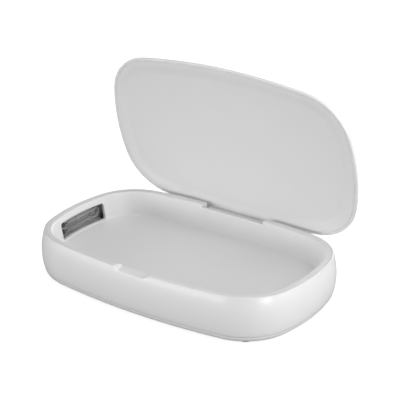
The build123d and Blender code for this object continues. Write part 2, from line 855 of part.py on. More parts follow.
with BuildPart() as usb_c_socket:
    with BuildSketch(Plane.XZ.offset(-usb_mouth_y)):
        with Locations((usb_x, usb_z)):
            SlotOverall(usb_width, usb_height)
    extrude(amount=usb_depth)
    with BuildSketch(Plane.XZ.offset(-usb_mouth_y)):
        with Locations((usb_x, usb_z)):
            SlotOverall(usb_width - 2 * usb_wall, usb_height - 2 * usb_wall)
            Rectangle(usb_width - 2 * usb_wall - 2 * usb_tongue_gap, usb_tongue, mode=Mode.SUBTRACT)
    extrude(amount=usb_depth - usb_back, mode=Mode.SUBTRACT)
usb_c_socket.part.label = "usb_c_socket"
export_step(usb_c_socket.part, "parts/usb_c_socket.step")

# ---------------------------------------------------------------------------
# Power button, its switch and the indicator
# ---------------------------------------------------------------------------
with BuildPart() as button_board:
    with BuildSketch(Plane.XY.offset(plate_top_z)):
        with Locations((button_board_x, button_board_y)):
            Rectangle(button_board_width - press_clearance, button_board_thickness,
                      align=(Align.CENTER, Align.MIN))
    extrude(amount=tray_bottom_z - screw_play - plate_top_z)
button_board.part.label = "button_board"
export_step(button_board.part, "parts/button_board.step")

with BuildPart() as tact_switch:
    with BuildSketch(Plane.XZ.offset(-button_board_front)):
        with Locations((button_x, button_z)):
            Rectangle(switch_body, switch_body)
    extrude(amount=-switch_body_height)
    with BuildSketch(Plane.XZ.offset(-button_board_front - switch_body_height)):
        with Locations((button_x, button_z)):
            Circle(switch_plunger_diameter / 2)
    extrude(amount=-switch_plunger_height)
tact_switch.part.label = "tact_switch"
export_step(tact_switch.part, "parts/tact_switch.step")

with BuildPart() as indicator_led:
    with BuildSketch(Plane.XZ.offset(-button_board_front)):
        with Locations((indicator_x, button_z)):
            Rectangle(led_size, led_size)
    extrude(amount=-led_height)
indicator_led.part.label = "indicator_led"
export_step(indicator_led.part, "parts/indicator_led.step")

light_pipe_low_y = button_board_front + led_height + light_pipe_gap
light_pipe_end_y = side_y(indicator_x) - wall_inset(button_z)
with BuildPart() as light_pipe:
    with BuildSketch(Plane.XZ.offset(-light_pipe_low_y)):
        with Locations((indicator_x, button_z)):
            Circle(light_pipe_diameter / 2)
    extrude(amount=light_pipe_low_y - light_pipe_end_y)
light_pipe.part.label = "light_pipe"
export_step(light_pipe.part, "parts/light_pipe.step")

with BuildPart() as power_button:
    with BuildSketch(Plane.XZ.offset(-button_flange_y + button_flange_thickness)):
        with Locations((button_x, button_z)):
            Circle(button_flange_diameter / 2)
    extrude(amount=-button_flange_thickness)
    with BuildSketch(Plane.XZ.offset(-button_flange_y)):
        with Locations((button_x, button_z)):
            Circle(button_diameter / 2)
    extrude(amount=-(button_face_y + overrun - button_flange_y))
    with BuildSketch(Plane.XZ.offset(-nub_tip_y)):
        with Locations((button_x, button_z)):
            Circle(button_nub_diameter / 2)
    extrude(amount=-button_nub_length)
    with BuildSketch(Plane.XY.offset(foot_height)):
        with BuildLine():
            draw_outline(wall_inset(button_z) - button_proud)
        make_face()
    extrude(amount=base_height, mode=Mode.INTERSECT)
power_button.part.label = "power_button"
export_step(power_button.part, "parts/power_button.step")

# ---------------------------------------------------------------------------
# Lid catch: magnets under the front ring and a sensor beside them
# ---------------------------------------------------------------------------
magnet_inset = ring_seam_inset + ledge_width + 2 * seam_gap
with BuildPart() as base_magnets:
    with BuildSketch(Plane.XY.offset(flange_z)):
        for middle in (-magnet_x, magnet_x):
            with BuildLine():
                front_strip(middle, magnet_length, magnet_inset, magnet_inset + magnet_width)
            make_face()
    extrude(amount=-magnet_height)
base_magnets.part.label = "base_magnets"
export_step(base_magnets.part, "parts/base_magnets.step")

with BuildPart() as hall_sensor_board:
    with BuildSketch(Plane.XY.offset(flange_z)):
        with BuildLine():
            front_strip(sensor_x, sensor_length, magnet_inset, magnet_inset + magnet_width)
        make_face()
    extrude(amount=-sensor_thickness)
hall_sensor_board.part.label = "hall_sensor_board"
export_step(hall_sensor_board.part, "parts/hall_sensor_board.step")

# ---------------------------------------------------------------------------
# Hinge: brackets and friction clips on the base, pin and knuckle on the lid
# ---------------------------------------------------------------------------
with BuildPart() as hinge_bracket_right:
    with BuildSketch(Plane.YZ.offset(notch_half)):
        with Locations((hinge_y, bracket_foot_z)):
            Rectangle(bracket_depth, hinge_z - bracket_foot_z, align=(Align.CENTER, Align.MIN))
        with Locations((hinge_y, hinge_z)):
            Circle(bracket_depth / 2)
            Circle(pin_diameter / 2 + running_clearance, mode=Mode.SUBTRACT)
    extrude(amount=bracket_thickness)
    with BuildSketch(Plane.XY.offset(bracket_foot_z)):
        with Locations((notch_half, bracket_foot_front)):
            Rectangle(bracket_foot_width, hinge_y + bracket_foot_rear - bracket_foot_front,
                      align=(Align.MIN, Align.MIN))
        with Locations((bracket_screw_x, bracket_screw_y)):
            Circle(hinge_screw_diameter / 2 + screw_play / 2, mode=Mode.SUBTRACT)
    extrude(amount=bracket_foot_thickness)
hinge_bracket_right.part.label = "hinge_bracket_right"
export_step(hinge_bracket_right.part, "parts/hinge_bracket_right.step")

with BuildPart() as hinge_bracket_left:
    mirror(hinge_bracket_right.part, about=Plane.YZ)
hinge_bracket_left.part.label = "hinge_bracket_left"
export_step(hinge_bracket_left.part, "parts/hinge_bracket_left.step")

with BuildPart() as hinge_screws:
    with BuildSketch(Plane.XY.offset(bracket_foot_z)):
        with Locations(*bracket_places):
            Circle(hinge_screw_head / 2)
    extrude(amount=-hinge_screw_head_height)
    with BuildSketch(Plane.XY.offset(bracket_foot_z)):
        with Locations(*bracket_places):
            Circle(hinge_screw_diameter / 2 - press_clearance)
    extrude(amount=hinge_screw_length)
hinge_screws.part.label = "hinge_screws"
export_step(hinge_screws.part, "parts/hinge_screws.step")

clip_bore = pin_diameter / 2 + running_clearance
clip_x = notch_half + bracket_thickness + clip_gap
with BuildPart() as friction_clip_right:
    with BuildSketch(Plane.YZ.offset(clip_x)):
        with Locations((hinge_y, hinge_z)):
            Circle(clip_bore + clip_thickness)
            Circle(clip_bore, mode=Mode.SUBTRACT)
            Rectangle(clip_bore, 2 * clip_bore, align=(Align.CENTER, Align.MAX), mode=Mode.SUBTRACT)
        with Locations((hinge_y - clip_bore, hinge_z)):
            Rectangle(clip_thickness, hinge_z - bracket_foot_z - bracket_foot_thickness,
                      align=(Align.MAX, Align.MAX))
    extrude(amount=clip_width)
friction_clip_right.part.label = "friction_clip_right"
export_step(friction_clip_right.part, "parts/friction_clip_right.step")

with BuildPart() as friction_clip_left:
    mirror(friction_clip_right.part, about=Plane.YZ)
friction_clip_left.part.label = "friction_clip_left"
export_step(friction_clip_left.part, "parts/friction_clip_left.step")

with BuildPart() as hinge_pin:
    with BuildSketch(Plane.YZ):
        with Locations((hinge_y, hinge_z)):
            Circle(pin_diameter / 2)
    extrude(amount=pin_length / 2, both=True)
hinge_pin.part.label = "hinge_pin"
export_step(hinge_pin.part, "parts/hinge_pin.step")

hinge_plane = Plane(origin=(-knuckle_half, hinge_y, hinge_z), x_dir=(0, 1, 0), z_dir=(1, 0, 0))
knuckle_top = hinge_drop + lid_gap
with BuildPart() as hinge_knuckle:
    with BuildSketch(hinge_plane):
        with BuildLine():
            lean = degrees(atan2(tray_lean, tray_depth))
            barrel = CenterArc((0, 0), barrel_radius, 180 - lean, 90 + lean)
            drum_angle = drum_top_angle - drum_bottom_angle
            drum = CenterArc((0, 0), drum_radius, drum_bottom_angle, drum_angle)
            front_x, front_y = (barrel @ 0).X, (barrel @ 0).Y
            Polyline(
                barrel @ 0,
                (front_x + (knuckle_top - front_y) * tray_slope, knuckle_top),
                ((drum @ 1).X, knuckle_top),
                drum @ 1,
            )
            Line(drum @ 0, barrel @ 1)
        make_face()
        Circle(pin_diameter / 2 + press_clearance, mode=Mode.SUBTRACT)
    extrude(amount=knuckle_width)
hinge_knuckle.part = swing_open(hinge_knuckle.part)
hinge_knuckle.part.label = "hinge_knuckle"
export_step(hinge_knuckle.part, "parts/hinge_knuckle.step")

# ---------------------------------------------------------------------------
# Lid, drawn closed and turned open: domed shell, inner panel and magnets
# ---------------------------------------------------------------------------
lid_outer_inset = rim_inset + lid_inset
lid_top_z = lid_bottom_z + lid_height
dome_z = lid_bottom_z + lid_side_height
dome_inset = lid_outer_inset + lid_dome_width
panel_outer_inset = lid_outer_inset + lid_wall + panel_edge_gap
with BuildPart() as lid_shell:
    with BuildLine() as lid_path:
        draw_outline()
    with BuildSketch(section_plane):
        with BuildLine():
            rise = lid_height - lid_side_height
            outer_dome = EllipticalCenterArc((dome_inset, dome_z), lid_dome_width, rise, 90, arc_size=90)
            inner_dome = EllipticalCenterArc((dome_inset, dome_z), lid_dome_width - lid_wall,
                                             rise - lid_wall, 90, arc_size=90)
            Line(outer_dome @ 0, inner_dome @ 0)
            Line(outer_dome @ 1, (lid_outer_inset, lid_bottom_z + lid_edge_radius))
            RadiusArc((lid_outer_inset, lid_bottom_z + lid_edge_radius),
                      (lid_outer_inset + lid_edge_radius, lid_bottom_z), -lid_edge_radius)
            Polyline(
                (lid_outer_inset + lid_edge_radius, lid_bottom_z),
                (lid_outer_inset + lid_wall, lid_bottom_z),
                inner_dome @ 1,
            )
        make_face()
    sweep(path=lid_path.wires()[0])
    with BuildSketch(Plane.XY.offset(lid_top_z - lid_wall)):
        with BuildLine():
            draw_outline(dome_inset - merge)
        make_face()
    extrude(amount=lid_wall)
lid_shell.part = swing_open(lid_shell.part)
lid_shell.part.label = "lid_shell"
export_step(lid_shell.part, "parts/lid_shell.step")

with BuildPart() as lid_inner_panel:
    with BuildLine() as panel_path:
        draw_outline()
    with BuildSketch(section_plane):
        with BuildLine():
            cove_start = (lid_outer_inset + panel_rim_width, lid_bottom_z)
            cove_end = (cove_start[0] + panel_cove_width, lid_bottom_z + panel_cove_depth)
            cove_middle = ((cove_start[0] + cove_end[0]) / 2, (cove_start[1] + cove_end[1]) / 2)
            first = TangentArc(cove_start, cove_middle, tangent=(1, 0))
            second = TangentArc(cove_middle, cove_end, tangent=first % 1)
            Polyline(
                cove_end,
                (cove_end[0], cove_end[1] + panel_thickness),
                (cove_start[0] + panel_thickness, cove_start[1] + panel_thickness),
                (panel_outer_inset, cove_start[1] + panel_thickness),
                (panel_outer_inset, lid_bottom_z),
                cove_start,
            )
        make_face()
    sweep(path=panel_path.wires()[0])
    with BuildSketch(Plane.XY.offset(lid_bottom_z + panel_cove_depth)):
        with BuildLine():
            draw_outline(lid_outer_inset + panel_rim_width + panel_cove_width - merge)
        make_face()
    extrude(amount=panel_thickness)
    # Seats for the catch magnets, on the hidden side
    with BuildSketch(Plane.XY.offset(lid_bottom_z + lid_magnet_seat)):
        for middle in (-magnet_x, magnet_x):
            with BuildLine():
                front_strip(middle, magnet_length + lid_magnet_margin,
                            lid_outer_inset + lid_magnet_inset,
                            lid_outer_inset + lid_magnet_inset + magnet_width)
            make_face()
    extrude(amount=-(lid_magnet_seat - panel_thickness / 2))
lid_inner_panel.part = swing_open(lid_inner_panel.part)
lid_inner_panel.part.label = "lid_inner_panel"
export_step(lid_inner_panel.part, "parts/lid_inner_panel.step")

with BuildPart() as lid_magnets:
    with BuildSketch(Plane.XY.offset(lid_bottom_z + lid_magnet_seat)):
        for middle in (-magnet_x, magnet_x):
            with BuildLine():
                front_strip(middle, magnet_length, lid_outer_inset + lid_magnet_inset,
                            lid_outer_inset + lid_magnet_inset + magnet_width)
            make_face()
    extrude(amount=lid_magnet_height)
lid_magnets.part = swing_open(lid_magnets.part)
lid_magnets.part.label = "lid_magnets"
export_step(lid_magnets.part, "parts/lid_magnets.step")
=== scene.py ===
import json
import math
from contextlib import contextmanager
import bmesh
import bpy
from mathutils import Matrix, Vector


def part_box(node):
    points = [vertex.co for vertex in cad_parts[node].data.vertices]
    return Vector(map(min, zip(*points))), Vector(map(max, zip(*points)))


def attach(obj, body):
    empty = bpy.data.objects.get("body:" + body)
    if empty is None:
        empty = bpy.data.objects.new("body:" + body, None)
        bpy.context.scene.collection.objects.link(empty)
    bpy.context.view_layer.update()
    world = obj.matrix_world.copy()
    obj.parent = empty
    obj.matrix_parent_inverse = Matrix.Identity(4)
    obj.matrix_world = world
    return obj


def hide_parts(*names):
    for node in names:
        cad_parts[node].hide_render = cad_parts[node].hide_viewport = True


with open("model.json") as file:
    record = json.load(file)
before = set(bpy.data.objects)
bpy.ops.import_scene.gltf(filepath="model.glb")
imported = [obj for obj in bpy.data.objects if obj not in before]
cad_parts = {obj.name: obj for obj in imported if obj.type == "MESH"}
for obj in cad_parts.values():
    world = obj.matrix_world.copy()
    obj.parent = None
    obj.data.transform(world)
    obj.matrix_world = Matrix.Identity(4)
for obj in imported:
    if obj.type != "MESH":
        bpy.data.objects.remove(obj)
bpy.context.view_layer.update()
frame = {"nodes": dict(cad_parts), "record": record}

# ---------------------------------------------------------------------------
# Sizes in millimetres. They are those of the solids, apart from the rounding
# of edges, which is the photograph's, and the lamps' holders and fittings.
# ---------------------------------------------------------------------------
MM = 0.001

# Outline of the case, and the number of points on each of its arcs
HALF_LENGTH = 97.4
HALF_WIDTH = 60.35
SIDE_RADIUS, SIDE_STEPS = 426.0, 96
END_RADIUS, END_STEPS = 124.5, 36
CORNER_RADIUS, CORNER_STEPS = 37.7, 40

# Outer wall of the base
FOOT_HEIGHT = 1.2
COVER_TOP_Z = 5.7
BELLY_Z = 17.3
RIM_Z = 31.5
BOTTOM_INSET = 5.4
RIM_INSET = 2.2
RIM_EDGE = 0.5
SHELL_WALL = 2.0
SHELL_LIP = 0.12
WALL_STEP = 0.7

# Ring, the seam in it, and the shell's ledge under the tray's flange
SEAM_INSET = 3.4
SEAM_GAP = 0.15
SEAM_EDGE = 0.12
FLANGE_Z = 28.9
LEDGE_WIDTH, LEDGE_THICKNESS = 0.7, 1.0
RING_INNER = 7.4
RING_EDGE = 1.5

# Tray
FLOOR_Z = 15.4
FLOOR_CORNER = 2.0
FLOOR_STRIP = 4.0
TRAY_FLOOR = 1.8
TRAY_LEAN = 3.0
TRAY_WALL = 1.6
TRAY_STEP = 0.9
TRAY_SLOPE = TRAY_LEAN / (RIM_Z - FLOOR_Z)
TRAY_BOTTOM_Z = FLOOR_Z - TRAY_FLOOR
FLOOR_INSET = RING_INNER + TRAY_LEAN

# Finger notch: half width of its floor, run of a side for each mm of height, depth, fall
NOTCH_FLOOR_HALF = 10.0
NOTCH_SIDE_RUN = 1.9
NOTCH_INNER_DEPTH = 0.9
NOTCH_FALL = 0.24
NOTCH_OUT, NOTCH_IN, NOTCH_OVER = -10, 3, 2

# Hinge
HINGE_Y = 54.99
HINGE_Z = 24.8
HINGE_DROP = RIM_Z - HINGE_Z
HINGE_CLEARANCE = 0.4
OPEN_ANGLE = 76.8
OPENING_HALF = 24.8
OPENING_DROP = 2.9
NOTCHED_WALL_DROP = 2.4
NOTCHED_WALL_IN = 1.0
DRUM_RADIUS = 4.75
DRUM_TOP_ANGLE, DRUM_LOW_ANGLE = 58.0, -30.0
BARREL_RADIUS = 1.8
BARREL_CLEARANCE = 0.27
KNUCKLE_HALF = 24.4
PIN_BORE, PIN_REACH = 1.01, 30

# Lamp windows
WINDOW_HALF = 22.2
WINDOW_LOW_Z = 15.9
WINDOW_HIGH_Z = 27.4
WINDOW_MIDDLE_Z = (WINDOW_LOW_Z + WINDOW_HIGH_Z) / 2
WINDOW_CORNER = 1.5
WINDOW_REACH = 91.6

# Lamps: a U of glass tube on its side, with its ends in a holder
LAMP_RADIUS, LAMP_GLASS, LAMP_PITCH = 1.4, 0.35, 5.4
LAMP_START, LAMP_BEND, LAMP_SEAL, LAMP_STEP = -20.0, 17.2, 1.0, 1.0
LAMP_SETBACK = 0.3
HOLDER_END, HOLDER_THICKNESS = -21.8, 1.2
HOLDER_SIDE, HOLDER_HEEL, HOLDER_CORNER = 1.6, 2.2, 0.8
SLEEVE_RADIUS, SLEEVE_PLAY, SLEEVE_SLIT = 1.68, 0.04, 2.0
SLEEVE_START, SLEEVE_END = 0.6, 5.2
CLIP_STARTS, CLIP_WIDTH = (14.4, -3.2), 1.4
CLIP_RADIUS, CLIP_PLAY, CLIP_OPENING = 1.62, 0.03, 150
ELECTRODE_START, ELECTRODE_END, ELECTRODE_STEP, ELECTRODE_RADIUS = 1.4, 7.0, 0.3, 0.45

# Lid and its inner panel, as they lie when shut
LID_BOTTOM_Z = 31.8
LID_TOP_Z = 39.8
LID_INSET = 2.5
LID_EDGE = 0.45
LID_SIDE = 1.2
LID_WALL = 2.0
DOME_WIDTH = 22.0
PANEL_RIM = 3.5
PANEL_COVE = 8.0
COVE_DEPTH = 1.3
COVE_STEPS = 24
PANEL_THICKNESS = 1.6
PANEL_GAP = 0.1
PANEL_SIDE = 1.0

# Rear wall: power button, light pipe and USB-C inlet
BUTTON_X, BUTTON_Z, BUTTON_HOLE = 50.0, 10.6, 4.3
BUTTON_RADIUS, BUTTON_FLANGE, FLANGE_THICKNESS = 4.0, 4.8, 1.0
NUB_RADIUS, NUB_LENGTH = 1.25, 0.75
BUTTON_EDGE, BUTTON_SOFT_EDGE = 0.4, 0.2
DISH_RIM, DISH_SLOPE, DISH_STEP, DISH_DEPTH = 0.9, 0.4, 0.22, 0.3
PIPE_X, PIPE_HOLE = 41.0, 1.26
USB_X, USB_Z, USB_WIDTH, USB_HEIGHT = -45.0, 10.6, 9.44, 3.7
REAR_WALL = 50.0, 64.0

# Rubber feet
FOOT_RADIUS, FOOT_EDGE, FOOT_TOP_EDGE = 4.99, 0.6, 0.15
HOLLOW_RADIUS, HOLLOW_SLOPE, HOLLOW_DEPTH, HOLLOW_EDGE = 1.6, 0.4, 0.12, 0.3

# Edges: bevels, the angle in degrees from which an edge is sharp, and the gap that is welded
HOLE_BEVEL, NOTCH_BEVEL, WINDOW_BEVEL = 0.2, 0.3, 0.4
HOLDER_BEVEL, KNUCKLE_BEVEL = 0.08, 0.25
SHARP, HOLDER_SHARP, NOTCH_SHARP = 35, 50, 12
WELD, RIM_WELD = 0.002, 0.004

# How far a cutter goes past the surface that it cuts, and the radius of a point on an axis
BEYOND = 4.0
POLE = 0.01


# ---------------------------------------------------------------------------
# Outline of the case: tangent arcs, offset inwards
# ---------------------------------------------------------------------------
def corner_centre():
    """Centre of the corner arc, which touches the side arc and the end arc."""
    side = Vector((0, HALF_WIDTH - SIDE_RADIUS))
    end = Vector((HALF_LENGTH - END_RADIUS, 0))
    to_side = SIDE_RADIUS - CORNER_RADIUS
    to_end = END_RADIUS - CORNER_RADIUS
    link = end - side
    along = (to_side**2 - to_end**2 + link.length_squared) / (2 * link.length)
    across = math.sqrt(to_side**2 - along**2)
    unit = link.normalized()
    normal = Vector((-unit.y, unit.x))
    found = [side + unit * along + normal * across, side + unit * along - normal * across]
    return max(found, key=lambda p: p.x)


CORNER = corner_centre()
SIDE_Y = HALF_WIDTH - SIDE_RADIUS
END_X = HALF_LENGTH - END_RADIUS
SIDE_ANGLE = math.degrees(math.atan2(CORNER.y - SIDE_Y, CORNER.x))
END_ANGLE = math.degrees(math.atan2(CORNER.y, CORNER.x - END_X))
CORNER_SWEEP = SIDE_ANGLE - END_ANGLE
ARCS = [  # centre, radius, start angle, sweep, number of points
    ((END_X, 0), END_RADIUS, -END_ANGLE, 2 * END_ANGLE, END_STEPS),
    ((CORNER.x, CORNER.y), CORNER_RADIUS, END_ANGLE, CORNER_SWEEP, CORNER_STEPS),
    ((0, SIDE_Y), SIDE_RADIUS, SIDE_ANGLE, 180 - 2 * SIDE_ANGLE, SIDE_STEPS),
    ((-CORNER.x, CORNER.y), CORNER_RADIUS, 180 - SIDE_ANGLE, CORNER_SWEEP, CORNER_STEPS),
    ((-END_X, 0), END_RADIUS, 180 - END_ANGLE, 2 * END_ANGLE, END_STEPS),
    ((-CORNER.x, -CORNER.y), CORNER_RADIUS, 180 + END_ANGLE, CORNER_SWEEP, CORNER_STEPS),
    ((0, -SIDE_Y), SIDE_RADIUS, 180 + SIDE_ANGLE, 180 - 2 * SIDE_ANGLE, SIDE_STEPS),
    ((CORNER.x, -CORNER.y), CORNER_RADIUS, 360 - SIDE_ANGLE, CORNER_SWEEP, CORNER_STEPS),
]


def outline(inset):
    """Points of the outline at an inset, anticlockwise."""
    points = []
    for centre, radius, start, sweep, steps in ARCS:
        reach = radius - inset
        for step in range(steps):
            angle = math.radians(start + sweep * step / steps)
            points.append((centre[0] + reach * math.cos(angle), centre[1] + reach * math.sin(angle)))
    return points


def tray_inset(z):
    """Inset of the tray's leaning wall at height z."""
    return RING_INNER + (RIM_Z - z) * TRAY_SLOPE


def wall_inset(z):
    """Inset of the outside of the barrel-shaped wall at height z."""
    if z < BELLY_Z:
        drop = (BELLY_Z - z) / (BELLY_Z - FOOT_HEIGHT)
        return BOTTOM_INSET * (1 - math.sqrt(max(0.0, 1 - drop**2)))
    return RIM_INSET * ((z - BELLY_Z) / (RIM_Z - BELLY_Z)) ** 2


# ---------------------------------------------------------------------------
# Lines of points
# ---------------------------------------------------------------------------
def spaced(start, end, step):
    """Numbers from start to end, both included, about one step apart."""
    count = max(1, round(abs(end - start) / step))
    return [start + (end - start) * i / count for i in range(count + 1)]


def rounded(corners, steps=4, closed=True):
    """Line through corners (x, y, radius), with an arc at each that has a radius."""
    points = []
    count = len(corners)
    for i, corner in enumerate(corners):
        here = Vector(corner[:2])
        radius = corner[2] if len(corner) > 2 else 0
        if not radius or (not closed and i in (0, count - 1)):
            points.append(tuple(here))
            continue
        before = (Vector(corners[i - 1][:2]) - here).normalized()
        after = (Vector(corners[(i + 1) % count][:2]) - here).normalized()
        half = before.angle(after) / 2
        reach = radius / math.tan(half)
        centre = here + (before + after).normalized() * (radius / math.sin(half))
        first = here + before * reach - centre
        turn = first.angle_signed(here + after * reach - centre)
        for step in range(steps + 1):
            points.append(tuple(centre + Matrix.Rotation(-turn * step / steps, 2) @ first))
    return points


def filled(points, step):
    """The line with more points on its long stretches, about one step apart."""
    line = [points[0]]
    for end in points[1:]:
        start = line[-1]
        parts = max(1, round(math.hypot(end[0] - start[0], end[1] - start[1]) / step))
        for share in (i / parts for i in range(1, parts + 1)):
            line.append(tuple(a + (b - a) * share for a, b in zip(start, end)))
    return line


def circle(x, y, radius, steps=48, start=0, sweep=360):
    """Points on an arc, in degrees; a full circle doesn't repeat its first point."""
    last = steps if sweep == 360 else steps + 1
    angles = [math.radians(start + sweep * i / steps) for i in range(last)]
    return [(x + radius * math.cos(a), y + radius * math.sin(a)) for a in angles]


def slot_points(x, y, width, height):
    """Outline of a slot with round ends, lying along x."""
    half = (width - height) / 2
    right = circle(x + half, y, height / 2, 12, -90, 180)
    left = circle(x - half, y, height / 2, 12, 90, 180)
    return right + left


# ---------------------------------------------------------------------------
# Meshes, drawn in millimetres and scaled when they are done
# ---------------------------------------------------------------------------
def new_object(name, bm):
    """Object of the mesh bm, which is freed."""
    mesh = bpy.data.meshes.new(name)
    bm.normal_update()
    bm.to_mesh(mesh)
    bm.free()
    obj = bpy.data.objects.new(name, mesh)
    bpy.context.scene.collection.objects.link(obj)
    return obj


def skinned(name, rings, closed=False):
    """Skin over rings of points: closed on itself, or with a flat face at each end."""
    bm = bmesh.new()
    rings = [[bm.verts.new(point) for point in ring] for ring in rings]
    for low, high in zip(rings, rings[1:] + rings[:1] if closed else rings[1:]):
        for i in range(len(low)):
            k = (i + 1) % len(low)
            bm.faces.new((low[i], low[k], high[k], high[i]))
    if not closed:
        bm.faces.new(rings[0])
        bm.faces.new(rings[-1])
    bmesh.ops.recalc_face_normals(bm, faces=bm.faces)
    return new_object(name, bm)


def swept(name, section, closed=True):
    """Section of (inset, z) points swept round the outline of the case."""
    return skinned(name, [[(x, y, z) for x, y in outline(inset)] for inset, z in section], closed)


def prism(name, profile, low, high, axis):
    """Profile extruded along an axis: X takes (y, z) points and Y takes (x, z) points."""
    if axis == "X":
        return skinned(name, [[(along, a, b) for a, b in profile] for along in (low, high)])
    return skinned(name, [[(a, along, b) for a, b in profile] for along in (low, high)])


def tube(name, path, radius, steps=24):
    """Round tube along a path of points that lies in a plane of constant x."""
    side = Vector((1, 0, 0))
    rings = []
    for i, point in enumerate(path):
        along = Vector(path[min(i + 1, len(path) - 1)]) - Vector(path[max(i - 1, 0)])
        other = along.normalized().cross(side)
        rings.append([Vector(point) + side * a + other * b for a, b in circle(0, 0, radius, steps)])
    return skinned(name, rings)


def revolved(name, profile, x, z):
    """Profile of (radius, y) points turned about a line along y through (x, z)."""
    return skinned(name, [[(a, y, b) for a, b in circle(x, z, max(radius, POLE), 72)]
                          for radius, y in profile])


@contextmanager
def editing(obj):
    """The mesh of obj as a bmesh, which is written back at the end."""
    bm = bmesh.new()
    bm.from_mesh(obj.data)
    yield bm
    bm.to_mesh(obj.data)
    bm.free()


def weld(bm, distance):
    """Merges points closer than a distance."""
    bmesh.ops.remove_doubles(bm, verts=bm.verts, dist=distance)
    bmesh.ops.dissolve_degenerate(bm, edges=bm.edges, dist=distance)


def cut(obj, *cutters):
    """Takes the cutters away from obj and removes them."""
    for cutter in cutters:
        modifier = obj.modifiers.new("cut", "BOOLEAN")
        modifier.operation = "DIFFERENCE"
        modifier.solver = "EXACT"
        modifier.object = cutter
    bpy.context.view_layer.update()
    graph = bpy.context.evaluated_depsgraph_get()
    mesh = bpy.data.meshes.new_from_object(obj.evaluated_get(graph))
    obj.modifiers.clear()
    obj.data = mesh
    for cutter in cutters:
        bpy.data.objects.remove(cutter)


def join(obj, others):
    """Puts the meshes of the others into obj and removes them."""
    with editing(obj) as bm:
        for each in others:
            bm.from_mesh(each.data)
    for each in others:
        bpy.data.objects.remove(each)


def bevel_edges(obj, chosen, width, segments=2, least_angle=SHARP):
    """Rounds the sharp edges whose two ends both answer to chosen(point)."""
    limit = math.radians(least_angle)
    with editing(obj) as bm:
        weld(bm, WELD)
        edges = [
            e for e in bm.edges
            if len(e.link_faces) == 2 and e.calc_face_angle(0) > limit
            and chosen(e.verts[0].co) and chosen(e.verts[1].co)
        ]
        bmesh.ops.bevel(bm, geom=edges, offset=width, segments=segments, profile=0.5,
                        affect="EDGES", clamp_overlap=True)


def smooth(obj):
    """Smooth shading, with sharp edges kept sharp."""
    limit = math.radians(SHARP)
    with editing(obj) as bm:
        for face in bm.faces:
            face.smooth = True
        for edge in bm.edges:
            edge.smooth = len(edge.link_faces) == 2 and edge.calc_face_angle(0) < limit


def move_points(obj, move):
    """Moves each point of obj to move(point)."""
    for vertex in obj.data.vertices:
        vertex.co = move(vertex.co)


def finish_piece(obj, body, material, nodes=(), open_lid=False):
    """Scales a piece to metres, puts it on its body and gives it its material."""
    smooth(obj)
    if open_lid:
        hinge = Matrix.Translation((0, HINGE_Y, HINGE_Z))
        turn = Matrix.Rotation(math.radians(-OPEN_ANGLE), 4, "X")
        obj.data.transform(hinge @ turn @ hinge.inverted())
    obj.data.transform(Matrix.Scale(MM, 4))
    obj.data.materials.clear()
    obj.data.materials.append(material)
    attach(obj, body)
    if nodes:
        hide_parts(*nodes)


# ---------------------------------------------------------------------------
# Materials
# ---------------------------------------------------------------------------
class Material:
    """A node material round one Principled shader."""

    def __init__(self, name, color, roughness, **sockets):
        self.data = bpy.data.materials.new(name)
        self.data.use_nodes = True
        self.nodes = self.data.node_tree.nodes
        self.links = self.data.node_tree.links
        self.shader = self.nodes["Principled BSDF"]
        self.fill(self.shader, Base_Color=(*color, 1), Roughness=roughness, **sockets)
        self.coordinates = self.nodes.new("ShaderNodeTexCoord")

    def fill(self, node, **values):
        """Sets the node's inputs; an underscore in a name stands for a space."""
        for key, value in values.items():
            node.inputs[key.replace("_", " ")].default_value = value
        return node

    def noise(self, scale, detail, stretch=None):
        """Noise over the object's own coordinates; scale is in repeats per metre."""
        node = self.fill(self.nodes.new("ShaderNodeTexNoise"), Scale=scale, Detail=detail)
        source = self.coordinates.outputs["Object"]
        if stretch:
            mapping = self.fill(self.nodes.new("ShaderNodeMapping"), Scale=stretch)
            self.links.new(source, mapping.inputs["Vector"])
            source = mapping.outputs["Vector"]
        self.links.new(source, node.inputs["Vector"])
        return node.outputs["Fac"]

    def vary_color(self, factor, first, second):
        """Mixes two colours by the factor, for the base colour."""
        mix = self.nodes.new("ShaderNodeMix")
        mix.data_type = "RGBA"
        self.fill(mix, A=(*first, 1), B=(*second, 1))
        self.links.new(factor, mix.inputs["Factor"])
        self.links.new(mix.outputs["Result"], self.shader.inputs["Base Color"])

    def vary_roughness(self, factor, low, high):
        """Spreads the roughness from low to high by the factor."""
        spread = self.fill(self.nodes.new("ShaderNodeMapRange"), To_Min=low, To_Max=high)
        self.links.new(factor, spread.inputs["Value"])
        self.links.new(spread.outputs["Result"], self.shader.inputs["Roughness"])

    def bump(self, height, distance, strength):
        """Bumps the surface; distance is in metres."""
        node = self.fill(self.nodes.new("ShaderNodeBump"), Distance=distance, Strength=strength)
        self.links.new(height, node.inputs["Height"])
        self.links.new(node.outputs["Normal"], self.shader.inputs["Normal"])


def moulded_plastic(name, color, roughness, grain, coat=0.0):
    """White moulded plastic: very slight clouding, and a fine grain in its gloss."""
    material = Material(name, color, roughness, Coat_Weight=coat, Coat_Roughness=0.36)
    darker = tuple(c * 0.985 for c in color)
    material.vary_color(material.noise(scale=35, detail=3), darker, color)
    material.vary_roughness(material.noise(scale=900, detail=4), roughness - 0.04, roughness + 0.05)
    material.bump(material.noise(scale=3500, detail=3), distance=grain, strength=0.35)
    return material.data


def metal(name, color, roughness, stretch):
    """Bright metal with fine marks, drawn out along an axis by the stretch."""
    material = Material(name, color, roughness, Metallic=1.0)
    marks = material.noise(scale=600, detail=4, stretch=stretch)
    material.vary_roughness(marks, roughness * 0.7, roughness * 1.4)
    material.bump(material.noise(scale=1500, detail=2, stretch=stretch), distance=0.00001, strength=0.4)
    return material.data


